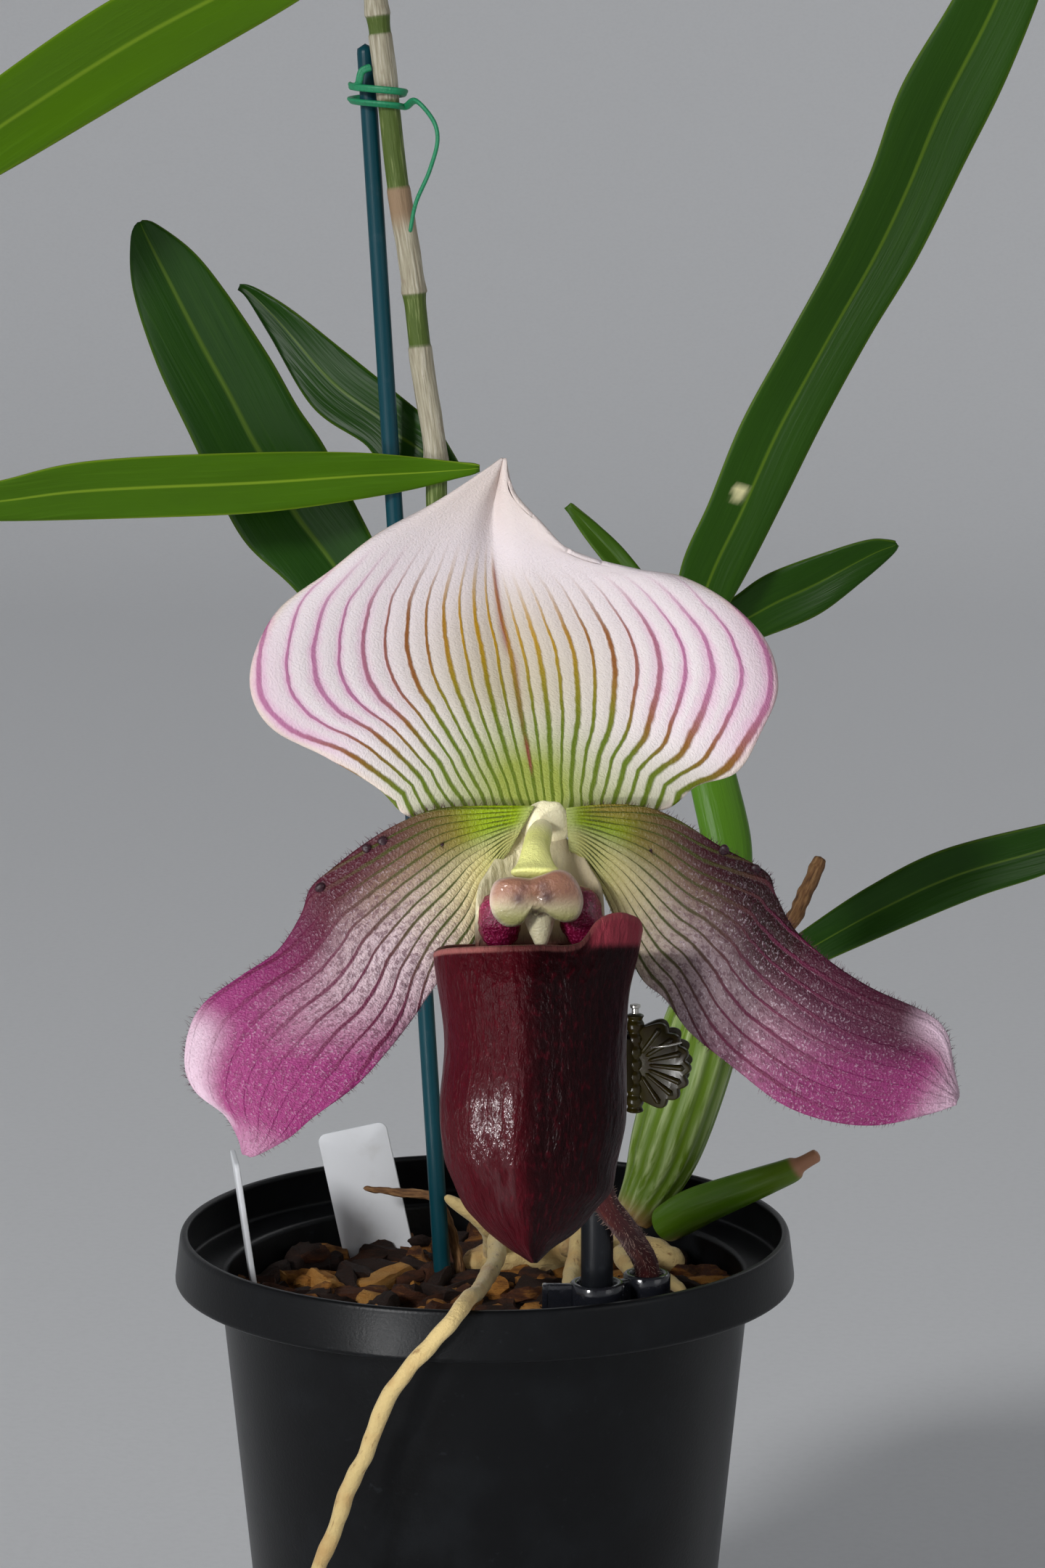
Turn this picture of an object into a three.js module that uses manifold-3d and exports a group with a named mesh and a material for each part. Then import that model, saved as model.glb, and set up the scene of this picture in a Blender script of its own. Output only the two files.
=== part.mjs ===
// Potted lady's slipper orchid: one two-toned flower on a staked, hairy stem, with the cane, bulbs,
// strap leaves and roots that share its black nursery pot.
// Millimetres, +Z up. The origin is the middle of the pot's underside, and the flower faces -Y.

import * as THREE from 'three';
import { mergeVertices } from 'three/addons/utils/BufferGeometryUtils.js';
import Module from 'manifold-3d';

const wasm = await Module();
wasm.setup();

// Driving sizes
const POT_HEIGHT = 95;
const RIM_RADIUS = 49.3;
const SKIRT_RADIUS = 50.3;
const SKIRT_HEIGHT = 8;
const WALL_TOP_RADIUS = 43;
const BASE_RADIUS = 34.5;
const WALL = 1.2;
const BARK_LEVEL = 82;
const SEAT = 0.3; // clearance between two pieces that touch
const PETAL_THICKNESS = 0.8;
const LEAF_THICKNESS = 0.9;
const POUCH_THICKNESS = 0.9;
const FLOWER_PLANE = 622; // from the eye to the plane of the open flower
const BLACK_STAKE_RADIUS = 2.5;
const STEM_RADIUS = 1.9;
const TEAL_STAKE_RADIUS = 1.4;
const CANE_RADIUS = 1.75;

// The photograph's eye: every place that is given as a pixel below is read through it
const EYE = new THREE.Vector3(6.1, -686.4, 279);
const PITCH = THREE.MathUtils.degToRad(9.2);
const PHOTO_CENTRE = { x: 720, y: 1080 };
const PIXEL = 1 / 6000; // sideways reach of one pixel at a distance of 1 mm
const AHEAD = new THREE.Vector3(0, Math.cos(PITCH), -Math.sin(PITCH));
const ABOVE = new THREE.Vector3(0, Math.sin(PITCH), Math.cos(PITCH));

function sightLine(px, py) {
  const line = new THREE.Vector3((px - PHOTO_CENTRE.x) * PIXEL, 0, 0);
  return line.addScaledVector(ABOVE, (PHOTO_CENTRE.y - py) * PIXEL).add(AHEAD);
}

// The point of the flower seen at a pixel, so far behind the flower's plane
function seen(px, py, behind) {
  return sightLine(px, py).multiplyScalar(FLOWER_PLANE + behind).add(EYE);
}

// The point seen at a pixel, on the upright plane at y
function standing(px, py, y) {
  const line = sightLine(px, py);
  return line.multiplyScalar((y - EYE.y) / line.y).add(EYE);
}

const mix = THREE.MathUtils.lerp;
const clamp = THREE.MathUtils.clamp;
const at = (x, y, z) => new THREE.Vector3(x, y, z);

// Smooth curve value = f(key) through hand-set [key, value] pairs with rising keys
function through(pairs) {
  return (key) => {
    const last = pairs.length - 2;
    let i = 0;
    while (i < last && key > pairs[i + 1][0]) i += 1;
    const [k0, v0] = pairs[i];
    const [k1, v1] = pairs[i + 1];
    const [ka, va] = pairs[Math.max(i - 1, 0)];
    const [kb, vb] = pairs[Math.min(i + 2, pairs.length - 1)];
    const t = clamp((key - k0) / (k1 - k0), 0, 1);
    const slope0 = ((v1 - va) / (k1 - ka)) * (k1 - k0);
    const slope1 = ((vb - v0) / (kb - k0)) * (k1 - k0);
    const t2 = t * t;
    const t3 = t2 * t;
    return v0 * (2 * t3 - 3 * t2 + 1) + slope0 * (t3 - 2 * t2 + t) + v1 * (3 * t2 - 2 * t3)
      + slope1 * (t3 - t2);
  };
}

// Seeded random numbers from 0 to 1
function randomNumbers(seed) {
  let state = seed;
  return () => {
    state = (state + 0x6d2b79f5) | 0;
    let mixed = Math.imul(state ^ (state >>> 15), 1 | state);
    mixed = (mixed + Math.imul(mixed ^ (mixed >>> 7), 61 | mixed)) ^ mixed;
    return ((mixed ^ (mixed >>> 14)) >>> 0) / 4294967296;
  };
}

function indexedGeometry(points, triangles) {
  const geometry = new THREE.BufferGeometry();
  const flat = points.flatMap((point) => [point.x, point.y, point.z]);
  geometry.setAttribute('position', new THREE.Float32BufferAttribute(flat, 3));
  geometry.setIndex(triangles);
  return geometry;
}

// Solid for joining and cutting, from a closed geometry
function solid(geometry) {
  const bare = geometry.clone();
  bare.deleteAttribute('normal');
  bare.deleteAttribute('uv');
  const merged = mergeVertices(bare, 1e-4);
  const index = merged.index.array;
  const triangles = [];
  for (let i = 0; i < index.length; i += 3) {
    const [a, b, c] = [index[i], index[i + 1], index[i + 2]];
    if (a !== b && b !== c && c !== a) triangles.push(a, b, c);
  }
  return new wasm.Manifold(new wasm.Mesh({
    numProp: 3,
    vertProperties: new Float32Array(merged.attributes.position.array),
    triVerts: new Uint32Array(triangles),
  }));
}

function joined(pieces) {
  return pieces.reduce((whole, piece) => whole.add(piece));
}

// The largest body of a solid: loose scraps are dropped
function largest(body) {
  return body.decompose().reduce((best, part) => (part.volume() > best.volume() ? part : best));
}

function shapeOf(body) {
  const { vertProperties, triVerts } = body.getMesh();
  const geometry = new THREE.BufferGeometry();
  geometry.setAttribute('position', new THREE.Float32BufferAttribute(Array.from(vertProperties), 3));
  geometry.setIndex(Array.from(triVerts));
  return geometry;
}

// Closed blade round a grid of points, both faces split alike
function blade(rows, thickness) {
  const last = rows.length - 1;
  const side = rows[0].length - 1;
  const front = [];
  const back = [];
  rows.forEach((row, r) => row.forEach((point, c) => {
    const across = row[Math.min(c + 1, side)].clone().sub(row[Math.max(c - 1, 0)]);
    const along = rows[Math.min(r + 1, last)][c].clone().sub(rows[Math.max(r - 1, 0)][c]);
    const normal = across.cross(along).normalize().multiplyScalar(thickness / 2);
    front.push(point.clone().add(normal));
    back.push(point.clone().sub(normal));
  }));
  const behind = front.length;
  const place = (r, c) => r * (side + 1) + c;
  const triangles = [];
  for (let r = 0; r < last; r += 1) {
    for (let c = 0; c < side; c += 1) {
      const [a, b, d, e] = [place(r, c), place(r, c + 1), place(r + 1, c + 1), place(r + 1, c)];
      triangles.push(a, b, d, a, d, e);
      triangles.push(behind + a, behind + d, behind + b, behind + a, behind + e, behind + d);
    }
  }
  const border = [];
  for (let c = 0; c < side; c += 1) border.push(place(0, c));
  for (let r = 0; r < last; r += 1) border.push(place(r, side));
  for (let c = side; c > 0; c -= 1) border.push(place(last, c));
  for (let r = last; r > 0; r -= 1) border.push(place(r, 0));
  border.forEach((a, i) => {
    const b = border[(i + 1) % border.length];
    triangles.push(b, a, behind + a, b, behind + a, behind + b);
  });
  return indexedGeometry([...front, ...back], triangles);
}

// Evenly spaced points along an edge that is drawn with a few pixels
function edgePoints(pixels, count) {
  const curve = new THREE.SplineCurve(pixels.map(([x, y]) => new THREE.Vector2(x, y)));
  return curve.getSpacedPoints(count);
}

// Blade between two drawn edges; middle, if given, bows its rows; place turns a pixel into a point
function outlineBlade({ left, right, middle, across, along, thickness, place }) {
  const leftEdge = edgePoints(left, along);
  const rightEdge = edgePoints(right, along);
  const middleLine = middle ? edgePoints(middle, along) : null;
  const rows = leftEdge.map((start, r) => {
    const end = rightEdge[r];
    const centre = middleLine ? middleLine[r] : start.clone().add(end).multiplyScalar(0.5);
    const half = end.clone().sub(start).multiplyScalar(0.5);
    const bow = start.clone().add(end).multiplyScalar(0.5).sub(centre);
    const row = [];
    for (let c = 0; c <= across; c += 1) {
      const s = (2 * c) / across - 1;
      const pixel = centre.clone().addScaledVector(half, s).addScaledVector(bow, s * s);
      row.push(place(pixel.x, pixel.y, s, r / along));
    }
    return row;
  });
  return blade(rows, thickness);
}

// Closed round stem along a list of points; radius(t) runs from foot to tip, and flat(t) is the share
// of it that is left from front to back
function stem(points, radius, { sides = 8, steps = 12, flat } = {}) {
  const curve = new THREE.CatmullRomCurve3(points, false, 'centripetal');
  const frames = curve.computeFrenetFrames(steps, false);
  const centres = curve.getSpacedPoints(steps);
  const places = [];
  centres.forEach((centre, i) => {
    const t = i / steps;
    const ahead = frames.tangents[i];
    const side = flat ? at(1, 0, 0).projectOnPlane(ahead).normalize() : frames.normals[i];
    const rear = ahead.clone().cross(side);
    const depth = radius(t) * (flat ? flat(t) : 1);
    for (let s = 0; s < sides; s += 1) {
      const angle = (2 * Math.PI * s) / sides;
      const point = centre.clone();
      point.addScaledVector(side, radius(t) * Math.cos(angle));
      point.addScaledVector(rear, depth * Math.sin(angle));
      places.push(point);
    }
  });
  const foot = places.push(centres[0].clone()) - 1;
  const tip = places.push(centres[steps].clone()) - 1;
  const triangles = [];
  for (let s = 0; s < sides; s += 1) {
    const next = (s + 1) % sides;
    for (let i = 0; i < steps; i += 1) {
      const [a, b] = [i * sides + s, i * sides + next];
      triangles.push(a, b, b + sides, a, b + sides, a + sides);
    }
    triangles.push(foot, next, s);
    triangles.push(tip, steps * sides + s, steps * sides + next);
  }
  return indexedGeometry(places, triangles);
}

function straightStem(foot, tip, radius, sides) {
  return stem([foot, tip], () => radius, { sides, steps: 1 });
}

// The same route with both ends moved out by the seat clearance
function extended(route) {
  const longer = route.map((point) => point.clone());
  const move = (end, next) => longer[end].add(
    route[end].clone().sub(route[next]).setLength(SEAT),
  );
  move(0, 1);
  move(route.length - 1, route.length - 2);
  return longer;
}

// Pot

function wallRadius(z) {
  return mix(BASE_RADIUS, WALL_TOP_RADIUS, z / (POT_HEIGHT - SKIRT_HEIGHT));
}

function turned(profile, segments) {
  return new THREE.LatheGeometry(profile.map(([r, z]) => new THREE.Vector2(r, z)), segments)
    .rotateX(Math.PI / 2);
}

const POT_FLOOR = 1.6;
const POT_SEGMENTS = 48;

function potGeometry() {
  const skirtFoot = POT_HEIGHT - SKIRT_HEIGHT;
  const rimWall = 1.3;
  const lip = 0.6;
  const body = solid(turned([
    [0, 0],
    [BASE_RADIUS - 1, 0],
    [BASE_RADIUS, 1],
    [WALL_TOP_RADIUS, skirtFoot],
    [SKIRT_RADIUS, skirtFoot],
    [RIM_RADIUS + 0.1, POT_HEIGHT - lip],
    [RIM_RADIUS - 0.2, POT_HEIGHT],
    [RIM_RADIUS - rimWall + 0.2, POT_HEIGHT],
    [RIM_RADIUS - rimWall, POT_HEIGHT - lip],
    [SKIRT_RADIUS - rimWall, skirtFoot + WALL],
    [WALL_TOP_RADIUS - WALL, skirtFoot + WALL],
    [BASE_RADIUS - WALL, POT_FLOOR],
    [0, POT_FLOOR],
  ], POT_SEGMENTS));
  const drainHoles = 6;
  const drainRadius = 3;
  const drainCircle = 24;
  const holes = [];
  for (let i = 0; i < drainHoles; i += 1) {
    const angle = ((i + 0.5) / drainHoles) * 2 * Math.PI;
    const hole = new THREE.CylinderGeometry(drainRadius, drainRadius, 6, 12).rotateX(Math.PI / 2);
    hole.translate(drainCircle * Math.cos(angle), drainCircle * Math.sin(angle), 0);
    holes.push(solid(hole));
  }
  return shapeOf(body.subtract(joined(holes)));
}

// Flower

const HUB_PIXEL = { x: 742, y: 1140 };

// Dorsal sepal: margins from the claw to the point, and the midrib between them
const DORSAL_LEFT = [[722, 1118], [640, 1123], [566, 1126], [519, 1085], [449, 1043], [377, 1005],
  [347, 958], [350, 903], [385, 839], [454, 787], [519, 737], [601, 692], [668, 647], [690, 631]];
const DORSAL_RIGHT = [[762, 1118], [840, 1121], [917, 1115], [960, 1083], [1016, 1063], [1049, 1008],
  [1072, 948], [1056, 884], [1006, 831], [942, 796], [887, 787], [797, 767], [748, 724], [708, 685],
  [698, 631]];
const DORSAL_MIDRIB = [[742, 1118], [728, 1060], [715, 1000], [700, 900], [690, 850], [680, 775],
  [680, 700], [694, 631]];

function dorsalDepth(s, v) {
  const spine = through([[0, 2.1], [0.15, 2.2], [0.45, 1], [0.75, -1.5], [1, -4.5]])(v);
  const open = THREE.MathUtils.smoothstep(v, 0.16, 0.5) * THREE.MathUtils.smoothstep(1 - v, 0, 0.3);
  const cup = -3.2 * s * s * open;
  const reflex = 2.2 * Math.pow(Math.abs(s), 8) * open;
  const groove = 0.8 * Math.exp(-Math.pow(s / 0.12, 2)) * open;
  return spine + cup + reflex + groove;
}

function dorsalSepal() {
  return outlineBlade({
    left: DORSAL_LEFT,
    right: DORSAL_RIGHT,
    middle: DORSAL_MIDRIB,
    across: 14,
    along: 16,
    thickness: PETAL_THICKNESS,
    place: (px, py, s, v) => seen(px, py, dorsalDepth(s, v)),
  });
}

// Petals: upper and lower margins from the base to the tip
const LEFT_PETAL_UPPER = [[737, 1110], [662, 1110], [598, 1115], [544, 1137], [500, 1164], [456, 1198],
  [428, 1224], [414, 1262], [382, 1310], [331, 1345], [281, 1382], [260, 1421], [255, 1469], [270, 1504],
  [308, 1533], [329, 1567], [335, 1590]];
const LEFT_PETAL_LOWER = [[703, 1171], [690, 1191], [676, 1235], [656, 1293], [603, 1354], [568, 1404],
  [534, 1448], [490, 1496], [433, 1538], [399, 1567], [358, 1590], [345, 1594]];
const RIGHT_PETAL_UPPER = [[780, 1113], [834, 1108], [887, 1111], [934, 1129], [991, 1165], [1055, 1201],
  [1069, 1233], [1094, 1279], [1141, 1322], [1201, 1361], [1276, 1395], [1304, 1422], [1313, 1465],
  [1321, 1510]];
const RIGHT_PETAL_LOWER = [[784, 1172], [801, 1183], [826, 1222], [839, 1247], [880, 1342], [916, 1376],
  [951, 1422], [1009, 1469], [1076, 1520], [1141, 1544], [1209, 1550], [1280, 1535], [1318, 1522]];

function petalDepth(s, v) {
  const sweep = through([[0, 1], [0.35, -1.1], [0.7, -4.5], [1, -5]])(v);
  const rise = THREE.MathUtils.smoothstep(v, 0.05, 0.4);
  const belly = -1.6 * (1 - s * s) * rise * (1 - 0.7 * v);
  const upperBack = -0.9 * s * rise;
  const wave = 0.7 * Math.pow(Math.abs(s), 3) * Math.sin(v * 17) * rise * (1 - v);
  return sweep + belly + upperBack + wave;
}

function petal(upper, lower, upperIsLeft) {
  return outlineBlade({
    left: upperIsLeft ? upper : lower,
    right: upperIsLeft ? lower : upper,
    across: 8,
    along: 16,
    thickness: PETAL_THICKNESS,
    place: (px, py, s, v) => seen(px, py, petalDepth(upperIsLeft ? s : -s, v)),
  });
}

// Synsepal: the joined lower sepals, behind the pouch
const SYNSEPAL_LEFT = [[724, 1173], [690, 1215], [655, 1300], [650, 1400], [680, 1500], [732, 1570]];
const SYNSEPAL_RIGHT = [[760, 1173], [800, 1215], [838, 1300], [838, 1400], [800, 1500], [744, 1570]];

function synsepal() {
  return outlineBlade({
    left: SYNSEPAL_LEFT,
    right: SYNSEPAL_RIGHT,
    across: 8,
    along: 10,
    thickness: PETAL_THICKNESS,
    place: (px, py, s, v) => seen(px, py, mix(5, 12, Math.sqrt(v)) - 1.6 * s * s * v + 4 * v * v),
  });
}

// Pouch: margins and depths of the bag by picture height, from the rim down to the tip
const BAG_LEFT = through([[1250, 592], [1316, 597], [1346, 601], [1415, 611], [1453, 612], [1526, 605],
  [1594, 612], [1624, 623], [1667, 644], [1710, 687], [1740, 732]]);
const BAG_RIGHT = through([[1250, 892], [1304, 882], [1364, 868], [1453, 863], [1543, 863], [1607, 849],
  [1641, 842], [1663, 824], [1697, 794], [1718, 764], [1740, 740]]);
const BAG_FRONT = through([[1250, -23], [1305, -25], [1360, -27], [1430, -28], [1520, -27.5], [1600, -25],
  [1660, -21], [1700, -17.5], [1740, -14]]);
const BAG_BACK = through([[1250, -1], [1305, -1.2], [1400, -1], [1500, -2], [1600, -5], [1660, -8],
  [1700, -10.5], [1740, -13]]);
const BAG_TIP = 1740;
// Height of the rim round the bag, by angle in degrees: -90 is the front, 0 the right ear, 90 the back
const BAG_RIM = through([[-180, 1316], [-150, 1310], [-90, 1305], [-68, 1302], [-58, 1272], [-45, 1261],
  [-25, 1266], [0, 1284], [30, 1302], [90, 1304], [150, 1306], [180, 1316]]);
const SQUARENESS = 2 / 2.3;

function bagPoint(degrees, py, inset) {
  const angle = THREE.MathUtils.degToRad(degrees);
  const [c, s] = [Math.cos(angle), Math.sin(angle)];
  const sideways = Math.sign(c) * Math.pow(Math.abs(c), SQUARENESS);
  const inward = Math.sign(s) * Math.pow(Math.abs(s), SQUARENESS);
  const middle = (BAG_LEFT(py) + BAG_RIGHT(py)) / 2;
  const depth = (BAG_FRONT(py) + BAG_BACK(py)) / 2;
  const ridge = -0.5 * Math.exp(-Math.pow((degrees + 96) / 9, 2));
  const insetPixels = inset / ((FLOWER_PLANE + depth) * PIXEL);
  const halfWidth = Math.max((BAG_RIGHT(py) - BAG_LEFT(py)) / 2 - insetPixels, 1);
  const halfDepth = Math.max((BAG_BACK(py) - BAG_FRONT(py)) / 2 - inset, 0.2);
  return seen(middle + halfWidth * sideways, py, depth + halfDepth * inward + ridge);
}

function bagShell() {
  const sides = 24;
  const levels = 10;
  const innerTip = BAG_TIP - 14;
  const points = [];
  const ring = (t, tipLevel, inset) => {
    for (let i = 0; i < sides; i += 1) {
      const degrees = (360 * i) / sides - 180;
      points.push(bagPoint(degrees, mix(tipLevel, BAG_RIM(degrees), t), inset));
    }
  };
  for (let j = 0; j <= levels; j += 1) ring(j / levels, BAG_TIP, 0);
  for (let j = levels; j >= 0; j -= 1) ring(j / levels, innerTip, POUCH_THICKNESS);
  const rings = 2 * levels + 2;
  const outerTip = points.push(seen(736, BAG_TIP, -13.5)) - 1;
  const innerEnd = points.push(seen(736, innerTip, -13.8)) - 1;
  const triangles = [];
  for (let i = 0; i < sides; i += 1) {
    const next = (i + 1) % sides;
    for (let j = 0; j < rings - 1; j += 1) {
      const [a, b] = [j * sides + i, j * sides + next];
      triangles.push(a, b, b + sides, a, b + sides, a + sides);
    }
    triangles.push(outerTip, next, i);
    triangles.push(innerEnd, (rings - 1) * sides + i, (rings - 1) * sides + next);
  }
  return indexedGeometry(points, triangles);
}

// Rear wall of the pouch, a trough that narrows up to the claw behind the column
const REAR_HALF_WIDTH = through([[1163, 20], [1180, 36], [1200, 55], [1235, 76], [1270, 82], [1345, 86]]);
const REAR_DEPTH = through([[1163, 1.7], [1200, 1.4], [1260, 0], [1345, -1.6]]);
const REAR_CURL = through([[1163, 0], [1200, 3.5], [1250, 5.5], [1300, 3.4], [1345, 1.9]]);

function rearWall() {
  const rows = [];
  const along = 8;
  const across = 8;
  for (let r = 0; r <= along; r += 1) {
    const py = mix(1345, 1163, r / along);
    const row = [];
    for (let c = 0; c <= across; c += 1) {
      const s = (2 * c) / across - 1;
      row.push(seen(744 + REAR_HALF_WIDTH(py) * s, py, REAR_DEPTH(py) - REAR_CURL(py) * s * s));
    }
    rows.push(row);
  }
  return blade(rows, POUCH_THICKNESS);
}

// The two in-rolled side lobes that flank the column
const SIDE_LOBES = [{ x: 688, y: 1268 }, { x: 801, y: 1262 }];

function sideLobe({ x, y }) {
  const lobe = new THREE.SphereGeometry(1, 10, 8).scale(3.1, 2.9, 4.3);
  const centre = seen(x, y, -4.4);
  return lobe.translate(centre.x, centre.y, centre.z);
}

function pouch() {
  const parts = [bagShell(), rearWall(), ...SIDE_LOBES.map(sideLobe)].map(solid);
  return shapeOf(largest(joined(parts)));
}

// Column with the staminode shield in front and the stigma below it
const STAMINODE = [[731, 1210], [703, 1208], [684, 1213], [676, 1228], [675, 1246], [681, 1263],
  [694, 1275], [708, 1277], [720, 1272], [730, 1259], [739, 1262], [750, 1257], [764, 1266], [780, 1271],
  [795, 1266], [803, 1250], [803, 1234], [796, 1216], [784, 1202], [768, 1198], [750, 1204]];

function staminode() {
  const behind = -10.5;
  const outline = new THREE.Shape();
  const size = (FLOWER_PLANE + behind) * PIXEL;
  const centre = { x: 739, y: 1237 };
  const flat = STAMINODE.map(([x, y]) => new THREE.Vector2((x - centre.x) * size, (centre.y - y) * size));
  outline.setFromPoints(new THREE.SplineCurve([...flat, flat[0]]).getPoints(26).slice(0, -1));
  const edge = 0.6;
  const shield = new THREE.ExtrudeGeometry(outline, {
    depth: 0.7,
    bevelEnabled: true,
    bevelThickness: edge,
    bevelSize: edge,
    bevelOffset: -edge,
    bevelSegments: 2,
  });
  const turn = new THREE.Matrix4().makeBasis(at(1, 0, 0), ABOVE, AHEAD.clone().negate());
  return shield.applyMatrix4(turn.setPosition(seen(centre.x, centre.y, behind)));
}

function column() {
  const stalk = stem(
    [seen(749, 1140, 1.1), seen(746, 1144, -0.6), seen(739, 1168, -4.6), seen(738, 1205, -9.4)],
    through([[0, 1.9], [0.25, 2.7], [0.6, 2.6], [1, 2.2]]),
    { sides: 12, steps: 7 },
  );
  const stigma = stem(
    [seen(740, 1215, -9), seen(743, 1255, -7.4), seen(746, 1306, -8.4)],
    through([[0, 1.6], [0.55, 1.9], [1, 0.5]]),
    { sides: 8, steps: 6 },
  );
  return shapeOf(largest(joined([solid(stalk), solid(staminode()), solid(stigma)])));
}

// Stem with the ovary, up from the bark, past the stake and behind the pouch to the flower's hub
const CLIP_LEVEL = 93.4;
const STEM_ROUTE = [
  at(23.2, -26.1, 60),
  at(24.9, -28.1, 80),
  at(25.5, -28.9, CLIP_LEVEL - 3),
  at(25.4, -29.3, CLIP_LEVEL + 3),
  standing(873, 1709, -33.5),
  standing(855, 1684, -39.8),
  standing(834, 1655, -42.2),
  standing(812, 1570, -43.2),
  standing(795, 1465, -42.6),
  standing(765, 1350, -47.5),
  standing(748, 1230, -53),
  seen(743, 1156, 15),
  seen(HUB_PIXEL.x, HUB_PIXEL.y, 8.5),
  seen(HUB_PIXEL.x, HUB_PIXEL.y, 1.9),
];

const stemRadius = through([[0, 2.1], [0.3, STEM_RADIUS], [0.62, STEM_RADIUS], [0.68, 2.1], [0.85, 2.4],
  [0.93, 2.3], [0.955, 2.9], [0.985, 2.9], [1, 1.4]]);

function floweringStem() {
  return stem(STEM_ROUTE, stemRadius, { sides: 8, steps: 40 });
}

// Bract: a short sheath that clasps the stem below the ovary, open towards the front
function bract() {
  const curve = new THREE.CatmullRomCurve3(STEM_ROUTE, false, 'centripetal');
  const rows = [];
  const along = 8;
  const across = 8;
  for (let r = 0; r <= along; r += 1) {
    const v = r / along;
    const t = mix(0.66, 0.79, v);
    const centre = curve.getPointAt(t);
    const ahead = curve.getTangentAt(t);
    const side = at(1, 0, 0).projectOnPlane(ahead).normalize();
    const rear = side.clone().cross(ahead);
    const radius = mix(stemRadius(t) + SEAT + 0.4, 4, v * v);
    const reach = mix(1.9, 0.25, Math.pow(v, 1.5));
    const row = [];
    for (let c = 0; c <= across; c += 1) {
      const angle = Math.PI / 2 + reach * (1 - (2 * c) / across);
      const point = centre.clone();
      point.addScaledVector(side, radius * Math.cos(angle));
      point.addScaledVector(rear, radius * Math.sin(angle));
      row.push(point);
    }
    rows.push(row);
  }
  return blade(rows, 0.7);
}

// Stakes, clips and ties

// The black stake leans out as the pot's wall does
const blackStakeFoot = at(17.6, -28, 30);
const blackStakeTop = at(17.6, -39.6, 146);
const tealFoot = at(-5.4, 8.2, 56);
const tealTop = standing(503, 60, 25);

const RING_CLIP = { height: 4.2, wall: 1.15, play: 0.55, linkWidth: 1.6, tab: { length: 4.6, width: 1.2 } };

// Two rings, round the stem and round the stake, with a web between them and a finger tab
function ringClip() {
  const { height, wall, play, linkWidth, tab } = RING_CLIP;
  const stemPlace = at(25.45, -29.1, CLIP_LEVEL);
  const climb = (CLIP_LEVEL - blackStakeFoot.z) / (blackStakeTop.z - blackStakeFoot.z);
  const stakePlace = blackStakeFoot.clone().lerp(blackStakeTop, climb);
  const stakeBore = BLACK_STAKE_RADIUS + play;
  const stemBore = STEM_RADIUS + play + 0.1;
  const tube = (place, radius, tall) => {
    const disc = new THREE.CylinderGeometry(radius, radius, tall, 24).rotateX(Math.PI / 2);
    return solid(disc.translate(place.x, place.y, CLIP_LEVEL));
  };
  const web = new THREE.BoxGeometry(stemPlace.distanceTo(stakePlace), linkWidth, height * 0.8);
  web.rotateZ(Math.atan2(stemPlace.y - stakePlace.y, stemPlace.x - stakePlace.x));
  web.translate((stemPlace.x + stakePlace.x) / 2, (stemPlace.y + stakePlace.y) / 2, CLIP_LEVEL);
  const finger = new THREE.BoxGeometry(tab.length, tab.width, height);
  finger.translate(stakePlace.x - stakeBore - 0.6 * tab.length, stakePlace.y - tab.width, CLIP_LEVEL);
  const rings = joined([
    tube(stakePlace, stakeBore + wall, height),
    tube(stemPlace, stemBore + wall, height),
    solid(web),
    solid(finger),
  ]);
  const bores = joined([
    tube(stakePlace, stakeBore, height * 2),
    tube(stemPlace, stemBore, height * 2),
  ]);
  return shapeOf(largest(rings.subtract(bores)));
}

// Claw clip: two jaws round stem and stake, a ribbed hinge barrel and two scalloped finger plates
const CLAW = {
  hinge: at(23.2, -39.7, 131.3),
  barrelRadius: 1.4,
  barrelHeight: 15.5,
  grooves: 4,
  grooveDepth: 0.3,
  jawHeight: 8,
  thickness: 1,
  plateReach: 9.2,
  plateSpread: 1.2,
  plateTurns: [-0.42, 0.3],
  scallops: 7,
  scallopDepth: 0.9,
};
// The jaws seen from above, from the hinge to the tips
const FRONT_JAW = [[23.2, -40.1], [19.8, -42.8], [16.6, -46], [12.9, -46.9], [10.2, -44]];
const REAR_JAW = [[23.2, -39.3], [22.5, -35.7], [18.7, -33.9], [14.1, -35.8], [11, -40]];

function jaw(places) {
  const line = edgePoints(places, 10);
  const { hinge, jawHeight, thickness } = CLAW;
  const rows = [hinge.z - jawHeight / 2, hinge.z + jawHeight / 2].map(
    (z) => line.map((place) => at(place.x, place.y, z)),
  );
  return blade(rows, thickness);
}

function scallopedPlate(turnAngle) {
  const { hinge, thickness, plateReach, plateSpread, scallops, scallopDepth } = CLAW;
  const flatten = 0.82;
  const rootWidth = 5.2;
  const steps = scallops * 4;
  const outline = [new THREE.Vector2(0, -rootWidth)];
  for (let i = 0; i <= steps; i += 1) {
    const angle = mix(-plateSpread, plateSpread, i / steps);
    const wave = Math.abs(Math.sin((i / 4) * Math.PI));
    const radius = plateReach - scallopDepth * (1 - wave);
    outline.push(new THREE.Vector2(radius * Math.cos(angle), radius * flatten * Math.sin(angle)));
  }
  outline.push(new THREE.Vector2(0, rootWidth));
  const plate = new THREE.ExtrudeGeometry(new THREE.Shape(outline), {
    depth: thickness,
    bevelEnabled: false,
  });
  plate.translate(0, 0, -thickness / 2).rotateX(Math.PI / 2).rotateZ(turnAngle);
  return plate.translate(hinge.x, hinge.y, hinge.z);
}

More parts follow.
